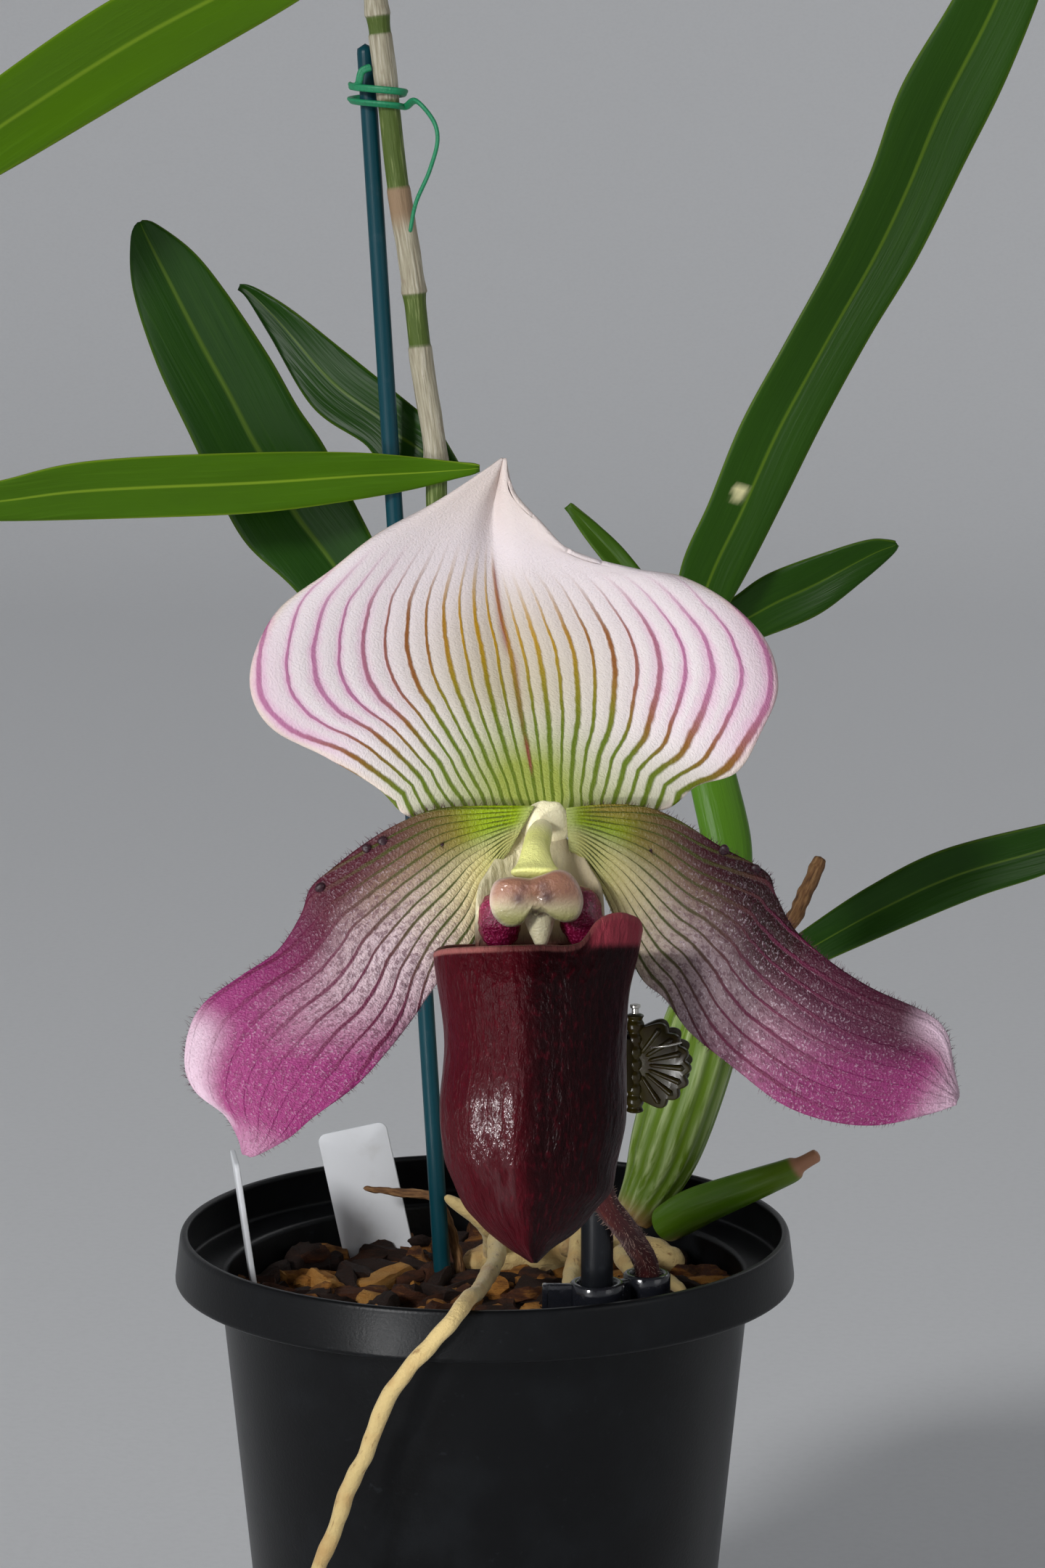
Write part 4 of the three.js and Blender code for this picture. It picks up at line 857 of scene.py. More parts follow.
def bulb_skin(node):
    """Ribbed bulb skin: juicy green flesh under a thin skin, with the whitish dried sheath on its ribs."""
    streak = node("noise", node("stretched", node("grain"), (1, 1, 1 / 16)), 1 / 0.9, 4)
    dried = node("times", node("times", "rib", node("between", streak, 0.35, 0.65)), 0.5)
    tone = [settings("plant").bulb, (node("between", streak, 0.5, 0.8, 0, 0.5), "#47680e"),
            (dried, "#c9d6a0"), ("brown", "#a8785c"), ("lime", "#4a7a12")]
    return {
        "Base Color": tone, "Roughness": 0.36, "IOR": 1.45, "Specular IOR Level": 0.3,
        "Subsurface Weight": 0.04, "Subsurface Radius": (0.002, 0.003, 0.001),
        "Normal": node("bump", streak, 0.15 * MM),
    }


def leaf_skin(node):
    """Leathery strap leaf: tough and waxed, so satin green, with fine veins, a paler midrib and edges."""
    plant = settings("plant")
    grain = node("grain")
    veins = node("noise", node("stretched", grain, (1, 1 / 30, 1)), 1 / 0.7)
    cloud = node("noise", node("stretched", grain, (1, 1 / 3, 1)), 1 / 9)
    across = node("size", "across")
    midrib = node("times", node("between", across, 0.08, 0.01, 0, 0.8), "rib")
    edge = node("times", node("between", across, 0.93, 1.0, 0, 0.7), "rib")
    # The darkest green coat is painted shade on the leaves that are out of the light
    tone = [plant.leaf, (node("between", cloud, 0.4, 0.7, 0, 0.5), "#1c4206"),
            (node("between", veins, 0.5, 0.75, 0, 0.35), "#4f7c1a"), ("lime", "#6d9412"),
            ("dusk", "#12330a"), (midrib, plant.leaf_rib), (edge, plant.leaf_rib), ("scar", "#d8d2a0")]
    return {
        "Base Color": tone, "Roughness": node("between", cloud, 0.3, 0.7, 0.3, 0.42), "IOR": 1.45,
        "Specular IOR Level": 0.16, "Normal": node("bump", veins, 0.12 * MM),
    }


def paper_floor(node):
    """Matt backdrop paper: pressed fibre, so without a highlight, with the faintest tooth."""
    tooth = node("noise", node("in mm", node("place")), 1 / 2)
    return {
        "Base Color": [settings("stage").floor, (node("between", tooth, 0.4, 0.7, 0, 0.06), "#c8c9cb")],
        "Roughness": 0.9, "Normal": node("bump", tooth, 0.05 * MM),
    }


# Pot and bark

def wall_radius(z):
    """Outer radius of the pot's wall at a height."""
    return mix(BASE_RADIUS, WALL_TOP_RADIUS, z / (POT_HEIGHT - SKIRT_HEIGHT))


class ORCHID_OT_pot(bpy.types.Operator):
    """Make the nursery pot"""

    bl_idname = "orchid.pot"
    bl_label = "Pot"

    def execute(self, context):
        foot = POT_HEIGHT - SKIRT_HEIGHT
        rim_wall, lip = 1.3, 0.6
        profile = rounded([
            (0, 0), (BASE_RADIUS - 1, 0), (BASE_RADIUS, 1), (WALL_TOP_RADIUS, foot - 0.4),
            (WALL_TOP_RADIUS + 1, foot), (SKIRT_RADIUS, foot), (RIM_RADIUS + 0.1, POT_HEIGHT - lip),
            (RIM_RADIUS - 0.2, POT_HEIGHT), (RIM_RADIUS - rim_wall + 0.2, POT_HEIGHT),
            (RIM_RADIUS - rim_wall, POT_HEIGHT - lip), (SKIRT_RADIUS - rim_wall, foot + WALL),
            (WALL_TOP_RADIUS - WALL, foot + WALL), (BASE_RADIUS - WALL, POT_FLOOR), (0, POT_FLOOR),
        ], 0.9)
        pot = make_piece("pot", [turned(profile, 160)], [made_of(polypropylene)], crease=50)
        hole_count, hole_radius, hole_ring = 6, 3, 24
        holes = []
        for i in range(hole_count):
            angle = (i + 0.5) / hole_count * FULL_TURN
            centre = (hole_ring * math.cos(angle), hole_ring * math.sin(angle), 0)
            holes.append(turned([(0, -3), (hole_radius, -3), (hole_radius, 3), (0, 3)], 32, centre))
        cutter = show("hole cutter", joined_mesh("hole cutter", holes))
        cut = pot.modifiers.new("drain holes", "BOOLEAN")
        cut.object = cutter
        graph = context.evaluated_depsgraph_get()
        drilled = bpy.data.meshes.new_from_object(pot.evaluated_get(graph))
        pot.modifiers.clear()
        pot.data = drilled
        bpy.data.objects.remove(cutter)
        return {"FINISHED"}


def bark_chip(random):
    """A rounded box with its corners shifted, split and roughened as flaky bark is."""
    shape = bmesh.new()
    bmesh.ops.create_cube(shape, size=1)
    bmesh.ops.subdivide_edges(shape, edges=shape.edges, cuts=4, use_grid_fill=True)
    points = np.array([v.co for v in shape.verts])
    faces = [[v.index for v in f.verts] for f in shape.faces]
    shape.free()
    roundness, smallest, largest = 0.35, (5, 3, 1.6), (12, 6.5, 3.4)
    points = mix(points, unit(points) * 0.62, roundness)
    points = points * random.uniform(smallest, largest)
    points[:, 0] += points[:, 1] * random.uniform(-0.4, 0.4)
    seed = random.uniform(0, 90)
    points += unit(points) * rough(points, 2.6, seed)[:, None] * 0.9
    points[:, 2] += rough(points * (1, 1, 2.5), 1.2, seed + 3) * 0.45
    turn = Matrix.Identity(3)
    for axis, least, most in (("Z", 0, FULL_TURN), ("Y", -0.5, 0.5), ("X", -0.5, 0.5)):
        turn = turn @ Matrix.Rotation(random.uniform(least, most), 3, axis)
    return points @ np.array(turn).T, faces


class ORCHID_OT_bark(bpy.types.Operator):
    """Make the bark fill and its chips"""

    bl_idname = "orchid.bark"
    bl_label = "Bark"

    def execute(self, context):
        random = np.random.default_rng(5)
        floor = POT_FLOOR + SEAT
        level = BARK_LEVEL
        spread = 40

        def inner(z):
            return wall_radius(z) - WALL - SEAT

        profile = rounded([
            (0, floor), (inner(floor) - 0.2, floor), (inner(level - 1), level - 1),
            (inner(level) - 4, level - 0.6), (20, level + 0.2), (0, level + 0.4),
        ], 0.5)
        parts = [turned(profile, 96, values={"tint": np.full((1, 1), 0.15)})]
        for _ in range(settings("planter").chip_count):
            points, faces = bark_chip(random)
            radius, angle = spread * math.sqrt(random.uniform(0, 1)), random.uniform(0, FULL_TURN)
            lift = random.uniform(-0.6, 1.5)
            points += (radius * math.cos(angle), radius * math.sin(angle), level + lift)
            reach = np.hypot(points[:, 0], points[:, 1])
            points[:, :2] *= np.minimum(1, inner(level) / np.maximum(reach, 1))[:, None]
            parts.append(Part(points, faces, {"tint": np.full(len(points), random.beta(1.3, 1.9))}))
        make_piece("bark_mix", parts, [made_of(pine_bark)], "bark", crease=60)
        return {"FINISHED"}


# Roots and twig: (x, y, z) in millimetres, or pixels with the y of the point

RHIZOME = [(-4, 15, 84.5), (2.5, 17.5, 85.2), (14, 18, 85.4), (25, 19, 85.6), (33, 14, 85)]
RHIZOME_RADIUS = [(0, 1.6), (0.2, 2.9), (0.5, 2.6), (0.8, 3.1), (1, 1.4)]
ROOTS = [
    ((1, 15.5, 86), [(672, 1692, 10), (645, 1668, 9), (612, 1648, 9)], [(0, 1.4), (0.7, 1.3), (1, 0.7)]),
    ((13, 17, 86), [(797, 1698, 9), (790, 1745, 1), (784, 1775, -8), (782, 1800, -16)],
     [(0, 1.3), (0.6, 1.4), (1, 0.8)]),
    ((24, 17, 86), [(856, 1728, 8), (878, 1752, 0), (915, 1762, -3), (945, 1780, -8)],
     [(0, 1.4), (0.6, 1.5), (1, 0.8)]),
]
AERIAL_ROOT = [(716, 1711, 10), (690, 1702, 4), (683, 1735, -12), (668, 1765, -28), (655, 1782, -42),
               (642, 1793, -50), (622, 1820, -53.4), (598, 1847, -53.4), (560, 1890, -53),
               (530, 1935, -51.5), (505, 2000, -50), (480, 2050, -49), (465, 2100, -48.5),
               (440, 2160, -48), (424, 2230, -47), (414, 2300, -46)]
AERIAL_RADIUS = [(0, 1.65), (0.2, 1.4), (0.5, 1.22), (0.9, 1.12), (1, 0.5)]
TWIG = [(-3.7, 11.8, 79), (-5, 13, 88), *placed([(600, 1652, 16), (550, 1643, 18), (500, 1637, 20)])]
TWIG_RADIUS = [(0, 0.9), (0.6, 0.8), (1, 0.5)]


class ORCHID_OT_roots(bpy.types.Operator):
    """Make the creeping stem, the roots and the twig"""

    bl_idname = "orchid.roots"
    bl_label = "Roots"

    def execute(self, context):
        skin = made_of(root_skin)
        parts = [tube(RHIZOME, RHIZOME_RADIUS, 32, 90, 0.06, lump=knobbly(2.2, 0.45, 1))]
        for i, (start, places, radius) in enumerate(ROOTS):
            route = [start, *placed(places)]
            parts.append(tube(route, radius, 20, 70, 0.05, lump=knobbly(1.8, 0.25, 2 + i)))
        make_piece("rhizome_roots", parts, [skin], "rhizome")
        root = tube(placed(AERIAL_ROOT), AERIAL_RADIUS, 28, 420, 0.012, lump=knobbly(3.2, 0.28, 8))
        make_piece("aerial_root", [root], [skin])
        twig = tube(TWIG, TWIG_RADIUS, 14, 90, 0.03, lump=knobbly(1.2, 0.22, 12))
        make_piece("dry_twig", [twig], [made_of(dry_wood)], "twig")
        return {"FINISHED"}


# Name tags

def tag_part(foot, top, width, buried, facing):
    """A flat tag with two round corners that stands on its foot, as deep in the bark as it is buried."""
    up = unit(top - foot)
    out = unit(facing - up * (facing @ up))
    half, corner, thickness = width / 2, 1.4, 0.8
    height = np.linalg.norm(top - foot) - corner
    turn = np.linspace(0, math.pi / 2, 7)
    outline = [(-half, -buried), (half, -buried)]
    outline += [(half - corner + corner * math.cos(a), height + corner * math.sin(a)) for a in turn]
    outline += [(corner - half - corner * math.sin(a), height + corner * math.cos(a)) for a in turn]
    return extruded(outline, thickness, [np.cross(up, out), up, out], foot, 0.15)


class ORCHID_OT_tags(bpy.types.Operator):
    """Make the two blank name tags"""

    bl_idname = "orchid.tags"
    bl_label = "Name tags"

    def execute(self, context):
        card = made_of(label_card)
        tags = {
            "name_tag": (standing(521, 1720, 27), standing(484, 1554, 29), 11.8, 12, (0, -1.0, 0)),
            "side_tag": ((-37.6, 1, 84), (-40.6, 1, 106.5), 12, 10, (-1, -0.13, 0)),
        }
        for name, (foot, top, width, buried, facing) in tags.items():
            tag = tag_part(np.array(foot), np.array(top), width, buried, np.array(facing))
            make_piece(name, [tag], [card], crease=50)
        return {"FINISHED"}


# Stakes, clips and tie: foot and top of each stake, the claw clip's hinge, and its jaws from above

CLIP_LEVEL = 93.4
BLACK_STAKE = [np.array([17.6, -28, 30]), np.array([17.6, -39.6, 146])]
TEAL_STAKE = [np.array([-5.4, 8.2, 56]), standing(503, 60, 25)]
CLAW_HINGE = np.array([23.2, -39.7, 131.3])
JAWS = [[(23.2, -40.1), (19.8, -42.8), (16.6, -46), (12.9, -46.9), (10.2, -44)],
        [(23.2, -39.3), (22.5, -35.7), (18.7, -33.9), (14.1, -35.8), (11, -40)]]


class ORCHID_OT_stakes(bpy.types.Operator):
    """Make the black and the teal stake"""

    bl_idname = "orchid.stakes"
    bl_label = "Stakes"

    def execute(self, context):
        black = tube(BLACK_STAKE, BLACK_STAKE_RADIUS, 40, 160, 0.015)
        coating = made_of(coated_stake, "Black coated stake", "#15171b", 0.33)
        make_piece("black_stake", [black], [coating])
        teal = tube(TEAL_STAKE, TEAL_STAKE_RADIUS, 32, 300, 0.005)
        coating = made_of(coated_stake, "Teal coated stake", settings("planter").teal, 0.36)
        make_piece("teal_stake", [teal], [coating])
        return {"FINISHED"}


def ring_part(centre, bore, wall, height):
    """A moulded ring with rounded edges."""
    h, r = height / 2, 0.3
    inner, outer = bore, bore + wall
    section = np.array([(inner, r - h), (inner + r, -h), (outer - r, -h), (outer, r - h),
                        (outer, h - r), (outer - r, h), (inner + r, h), (inner, h - r)])
    angle = np.linspace(0, FULL_TURN, 64, endpoint=False)[:, None]
    radius, level = section.T
    rings = np.stack([radius * np.cos(angle), radius * np.sin(angle), level + 0 * angle], -1) + centre
    place = np.arange(rings[..., 0].size).reshape(rings.shape[:2])
    corners = [place, np.roll(place, -1, 1), np.roll(place, (-1, -1), (0, 1)), np.roll(place, -1, 0)]
    return Part(rings, np.stack(corners, -1).reshape(-1, 4).tolist())


def bar_part(centre, size, turn=0.0):
    """A small block with rounded upright edges, turned about z."""
    x, y, bevel = size[0] / 2, size[1] / 2, 0.25
    outline = rounded([(0, -y), (x, -y), (x, y), (-x, y), (-x, -y), (0, -y)], bevel, 3)[:-1]
    c, s = math.cos(turn), math.sin(turn)
    return extruded(outline, size[2], [(c, s, 0), (-s, c, 0), (0, 0, 1)], centre, bevel)


class ORCHID_OT_ring_clip(bpy.types.Operator):
    """Make the clip at the pot's rim"""

    bl_idname = "orchid.ring_clip"
    bl_label = "Ring clip"

    def execute(self, context):
        height, wall, play = 4.2, 1.15, 0.55
        foot, top = BLACK_STAKE
        stake = mix(foot, top, (CLIP_LEVEL - foot[2]) / (top[2] - foot[2]))
        stem = np.array([25.45, -29.1, CLIP_LEVEL])
        stake_bore, stem_bore = BLACK_STAKE_RADIUS + play, STEM_RADIUS + play + 0.1
        link = stem - stake
        reach = np.linalg.norm(link)
        start, end = (stake_bore + wall / 2) / reach, 1 - (stem_bore + wall / 2) / reach
        turn = math.atan2(link[1], link[0])
        parts = [
            ring_part(stake, stake_bore, wall, height),
            ring_part(stem, stem_bore, wall, height),
            bar_part(stake + link * (start + end) / 2, (reach * (end - start), 1.6, height * 0.8), turn),
            bar_part(stake - (stake_bore + 2.9, 1.2, 0), (4.4, 1.2, height)),
            bar_part(stake - (stake_bore + 5.0, 1.2, 0), (0.9, 1.6, height)),
        ]
        make_piece("ring_clip", parts, [made_of(smoked_plastic)], crease=50)
        return {"FINISHED"}


def scalloped_plate(turn):
    """Finger plate of the claw clip, with a wavy outer edge and a rib to each wave."""
    reach, spread, scallops, dip, root, squash = 9.2, 1.2, 7, 0.9, 5.2, 0.82
    wave_steps = 12
    steps = scallops * wave_steps
    outline = []
    for i in range(steps + 1):
        angle = mix(-spread, spread, i / steps)
        radius = reach - dip * (1 - abs(math.sin(i / wave_steps * math.pi)))
        outline.append((radius * math.cos(angle), radius * squash * math.sin(angle)))
    outline += [(0, root), (0, -root)]
    c, s = math.cos(turn), math.sin(turn)
    basis = np.array([(c, s, 0), (0, 0, 1), (-s, c, 0)])
    parts = [extruded(outline, 1.0, basis, CLAW_HINGE, 0.22)]
    for i in range(scallops):
        angle = mix(-spread, spread, (i + 0.5) / scallops)
        for face in (-0.45, 0.45):
            ends = [(r * math.cos(angle), r * squash * math.sin(angle), face) for r in (2.4, reach - 0.8)]
            parts.append(tube(np.array(ends) @ basis + CLAW_HINGE, [(0, 0.3), (1, 0.55)], 10, 12))
    return parts


class ORCHID_OT_claw_clip(bpy.types.Operator):
    """Make the claw clip behind the pouch"""

    bl_idname = "orchid.claw_clip"
    bl_label = "Claw clip"

    def execute(self, context):
        radius, height, grooves, groove = 1.4, 15.5, 8, 0.3
        profile = [(0, -height / 2)]
        for z in np.linspace(-0.5, 0.5, 16 * grooves + 1):
            round_end = math.sqrt(max(1 - max(abs(z) - 0.47, 0) ** 2 / 0.03 ** 2, 0.02))
            cut = groove * (0.5 - 0.5 * math.cos(FULL_TURN * grooves * z)) ** 2
            profile.append(((radius - cut) * round_end, height * z))
        profile.append((0, height / 2))
        parts = [turned(profile, 40, CLAW_HINGE)]
        jaw_height, jaw_thickness = 8, 1.0
        levels = np.linspace(-jaw_height / 2, jaw_height / 2, 13) + CLAW_HINGE[2]
        for jaw in JAWS:
            rows = np.array([[(x, y, z) for x, y in edge_points(jaw, 40)] for z in levels])
            parts.append(sheet(rows, jaw_thickness, thin=0.7))
        parts += [*scalloped_plate(-0.42), *scalloped_plate(0.3)]
        pin = rounded([(0, 7), (0.55, 7), (0.55, 8.6), (0.8, 8.6), (0.8, 9.1), (0, 9.1)], 0.12)
        parts.append(turned(pin, 24, CLAW_HINGE, material=1))
        wire = [seen(895, 1443, -12.5), seen(918, 1441, -13.2), seen(940, 1436, -13)]
        parts.append(tube(wire, 0.13, 10, 30, material=1))
        skins = [made_of(amber_plastic), made_of(bright_steel)]
        make_piece("claw_clip", parts, skins, crease=45)
        return {"FINISHED"}


class ORCHID_OT_twist_tie(bpy.types.Operator):
    """Make the twist tie on the cane"""

    bl_idname = "orchid.twist_tie"
    bl_label = "Twist tie"

    def execute(self, context):
        lean = math.atan2(2.4, -3.2)
        centre = standing(520.5, 131, 23.2)
        points = placed([(512, 92, 21), (499, 98, 21), (494, 115, 21.5)])
        turns, steps = 1.5, 18
        for turn in np.arange(steps + 1) / steps * turns:
            angle = math.pi + turn * FULL_TURN + 0.2
            a, b = 5.1 * math.cos(angle), 3.3 * math.sin(angle)
            points.append(centre + (b * math.sin(lean) - a * math.cos(lean),
                                    -a * math.sin(lean) - b * math.cos(lean), 1.6 - 2.3 * turn))
        points += placed([(575, 140, 15), (598, 168, 14), (603, 192, 13.5), (592, 235, 14), (573, 280, 15),
                          (565, 320, 15.5)])
        thickness = 1.0
        tie = tube(points, thickness / 2, 16, 420, 0.004,
                   lump=lambda t, angle, place: 0.16 * np.cos(2 * angle) - 0.05)
        make_piece("twist_tie", [tie], [made_of(tie_coating)])
        return {"FINISHED"}


# Cane, bulbs and stub: pixels with the y of the point, and shares of the length for nodes and sheaths

CANE_NODES = [0.115, 0.36, 0.575, 0.7, 0.9]
CANE_SHEATHS = [(0.02, 0.33), (0.36, 0.52), (0.575, 0.66), (0.7, 0.775), (0.84, 0.885), (0.9, 0.97)]
CANE_PLACES = [(692, 1695, 17.6), (672, 1620, 19), (655, 1500, 20), (640, 1300, 20.5), (625, 1040, 21),
               (610, 820, 21), (602, 700, 21), (600, 624, 21), (582, 505, 21.3), (566, 367, 21.6),
               (548, 253, 21.8), (534, 129, 22), (518, 0, 22), (508, -80, 22), (501, -175, 22)]
BULB_PLACES = [(867, 1683, 19.5), (880, 1662, 20), (902, 1620, 21), (930, 1540, 22), (955, 1460, 22.5),
               (972, 1390, 23), (986, 1320, 23.5), (1002, 1250, 24), (1004, 1180, 24.5), (984, 1080, 25),
               (960, 990, 26), (944, 914, 26.5)]
BULB_RADIUS = [(0, 3.2), (0.06, 4.4), (0.15, 6), (0.26, 6.5), (0.35, 6.4), (0.44, 5), (0.52, 4),
               (0.62, 3.8), (0.7, 4.1), (0.85, 3.8), (1, 3.2)]
SMALL_BULB_PLACES = [(916, 1687, 14.7), (958, 1664, 9.5), (1010, 1643, 6), (1060, 1624, 4.5),
                     (1090, 1612, 4), (1100, 1606, 3.8), (1128, 1590, 3.4)]
SMALL_BULB_RADIUS = [(0, 3.1), (0.2, 3.4), (0.5, 2.9), (0.78, 2.2), (0.86, 1.9), (0.89, 1.3), (1, 1.1)]
STUB_PLACES = [(1031, 1328, 24.4), (1060, 1303, 26), (1090, 1270, 28), (1112, 1225, 28.5), (1131, 1180, 29)]
STUB_RADIUS = [(0, 1.1), (0.5, 1.3), (0.9, 1.25), (1, 0.9)]


class ORCHID_OT_cane(bpy.types.Operator):
    """Make the cane with its sheaths"""

    bl_idname = "orchid.cane"
    bl_label = "Cane"

    def execute(self, context):
        def radius(t):
            return CANE_RADIUS + 0.2 * sum(np.exp(-((t - node) / 0.006) ** 2) for node in CANE_NODES)

        def papery(t):
            edge = 0.002
            return sum(rise(t, foot - edge, foot) * fall(t, top, top + edge) for foot, top in CANE_SHEATHS)

        def lump(t, angle, place):
            return papery(t) * (0.16 + 0.12 * rough(place * (1, 1, 0.3), 1.4, 4))

        cane = tube(placed(CANE_PLACES), radius, 28, 620, 0.006, lump=lump, values={
            "paper": lambda t, angle: papery(t),
            "brown": lambda t, angle: rise(t, 0.74, 0.76) * fall(t, 0.82, 0.84) + 0.6 * fall(t, 0.05, 0.12),
        })
        make_piece("cane", [cane], [made_of(cane_skin)])
        return {"FINISHED"}


class ORCHID_OT_bulbs(bpy.types.Operator):
    """Make both bulbs and the dried stub"""

    bl_idname = "orchid.bulbs"
    bl_label = "Bulbs"

    def execute(self, context):
        ribs, small_ribs = 13, 9
        skin = made_of(bulb_skin)
        large = tube(
            placed(BULB_PLACES), BULB_RADIUS, 104, 170, 0.01, (1, 0),
            flat=lambda t: mix(1, 0.62, rise(t, 0.4, 0.65)),
            lump=lambda t, angle, place: (0.22 * np.cos(ribs * angle)
                                          * rise(t, 0.02, 0.1) * fall(t, 0.35, 0.5)),
            values={
                "rib": lambda t, angle: (0.5 + 0.5 * np.cos(ribs * angle)) * fall(t, 0.4, 0.6),
                "brown": lambda t, angle: 0.7 * fall(t, 0, 0.05),
                "lime": lambda t, angle: 0.85 * rise(t, 0.45, 0.6),
            })
        make_piece("bulb_large", [large], [skin])
        small = tube(placed(SMALL_BULB_PLACES), SMALL_BULB_RADIUS, 54, 110, 0.02, (1, 0.5), values={
            "rib": lambda t, angle: 0.4 * (0.5 + 0.5 * np.cos(small_ribs * angle)) * fall(t, 0.6, 0.8),
            "brown": lambda t, angle: rise(t, 0.84, 0.88),
            "lime": lambda t, angle: 0.6 * fall(t, 0.5, 0.8),
        })
        make_piece("bulb_small", [small], [skin])
        stub = tube(placed(STUB_PLACES), STUB_RADIUS, 18, 110, lump=knobbly(1.6, 0.3, 21))
        make_piece("dried_stub", [stub], [made_of(dry_wood)])
        return {"FINISHED"}


# Strap leaves: pixels of both margins from base to tip, the y along the leaf, the depth of its keel,
# and how plain its midrib and how yellow its green is
LEAVES = {
    "leaf_upper_left": (
        [(489, -128), (470, -50), (413, 0), (200, 124), (0, 241), (-90, 284), (-150, 304), (-190, 301)],
        [(486, -158), (420, -125), (300, -72), (152, 0), (0, 103), (-90, 177), (-160, 250), (-194, 294)],
        [(0, 20.4), (0.5, 8), (1, -8)], 1.2, 0.6, 0.35),
    "leaf_broad": (
        [(596, 1045), (540, 975), (470, 893), (405, 812), (340, 750), (300, 680), (262, 600), (215, 500),
         (183, 400), (180, 330), (190, 307)],
        [(605, 1012), (590, 920), (550, 820), (515, 745), (450, 620), (410, 560), (370, 490), (310, 400),
         (265, 345), (215, 308), (196, 304)],
        [(0, 21), (0.5, 26), (1, 33)], 1.6, 0.25, 0),
    "leaf_broad_rear": (
        [(612, 668), (530, 640), (500, 610), (430, 560), (370, 460), (340, 410), (328, 399)],
        [(634, 640), (600, 585), (570, 560), (520, 520), (470, 480), (400, 425), (350, 395), (331, 392)],
        [(0, 23.6), (0.15, 24), (0.5, 30), (1, 38)], 0.8, 0.3, 0),
    "leaf_level": (
        [(661, 649), (637, 657), (540, 680), (378, 704), (216, 713), (0, 718), (-90, 712), (-168, 702)],
        [(661, 641), (637, 637), (486, 623), (270, 626), (108, 637), (0, 662), (-90, 680), (-168, 696)],
        [(0, 18.2), (0.1, 18.1), (0.2, 16), (0.5, 11), (1, 4)], 0.5, 0.9, 0.25),
    "leaf_long": (
        [(925, 906), (937, 786), (977, 691), (1021, 583), (1080, 475), (1145, 356), (1199, 238),
         (1242, 119), (1312, 0), (1370, -110), (1440, -230), (1502, -332)],
        [(957, 910), (1021, 805), (1080, 691), (1134, 583), (1199, 464), (1264, 356), (1328, 227),
         (1382, 119), (1431, 0), (1468, -110), (1492, -220), (1510, -328)],
        [(0, 24), (0.5, 17), (1, 5)], 1.6, 0.3, 0.15),
    "leaf_side": (
        [(936, 896), (980, 846), (1015, 820), (1060, 790), (1140, 760), (1200, 743), (1234, 746)],
        [(958, 905), (1000, 896), (1060, 875), (1130, 845), (1190, 800), (1230, 765), (1238, 752)],
        [(0, 26.6), (0.5, 28), (1, 26)], 1, 0.25, 0.1),
    "leaf_short": (
        [(918, 909), (880, 838), (838, 782), (806, 740), (778, 700)],
        [(941, 909), (912, 830), (870, 768), (826, 724), (786, 693)],
        [(0, 28.4), (0.5, 31), (1, 33)], 0.6, 0.2, 0.6),
    "leaf_low_right": (
        [(1024, 1357), (1060, 1318), (1110, 1280), (1200, 1220), (1300, 1170), (1440, 1135),
         (1520, 1123), (1580, 1126)],
        [(1033, 1382), (1080, 1352), (1150, 1318), (1250, 1275), (1350, 1235), (1440, 1205),
         (1520, 1165), (1581, 1133)],
        [(0, 23.6), (0.5, 18), (1, 8)], 1.2, 0.3, 0.05),
}
# Leaves not in this set get painted shade: a darker green, as if out of the light
LIT_LEAVES = {"leaf_upper_left", "leaf_level"}


class ORCHID_OT_leaves(bpy.types.Operator):
    """Make the strap leaves"""

    bl_idname = "orchid.leaves"
    bl_label = "Leaves"

    def execute(self, context):
        skin = made_of(leaf_skin)
        for i, (name, (left, right, depths, keel, rib, lime)) in enumerate(LEAVES.items()):
            s, v, px, py, _ = blade_grid(left, right, 20, 120)
            rows = standing(px, py, through(*depths)(v) + keel * (1 - np.abs(s)) * np.sin(math.pi * v))
            rows[..., 1] += 0.35 * s ** 2 * np.sin(9 * v + i + 1.5 * s)
            values = {"lime": lime, "rib": rib, "dusk": 0 if name in LIT_LEAVES else 0.7}
            if name == "leaf_long":
                values["scar"] = fall(np.hypot(px - 1018, py - 677), 6, 14)
            make_piece(name, [sheet(rows, LEAF_THICKNESS, values, 0.35)], [skin])
        return {"FINISHED"}


# Flowering stem and bract

STEM_ROUTE = [
    (23.2, -26.1, 60), (24.9, -28.1, 80), (25.5, -28.9, CLIP_LEVEL - 3), (25.4, -29.3, CLIP_LEVEL + 3),
    *placed([(873, 1709, -33.5), (855, 1684, -39.8), (834, 1655, -42.2), (812, 1570, -43.2),
             (795, 1465, -42.6), (765, 1350, -47.5), (748, 1230, -53)]),
    seen(743, 1156, 15), seen(742, 1140, 8.5), seen(742, 1140, 1.9),
]
STEM_SIZE = [(0, 2.1), (0.3, STEM_RADIUS), (0.62, STEM_RADIUS), (0.68, 2.1), (0.85, 2.4), (0.93, 2.3),
             (0.955, 2.9), (0.985, 2.9), (1, 1.4)]
STEM_STEPS = 600


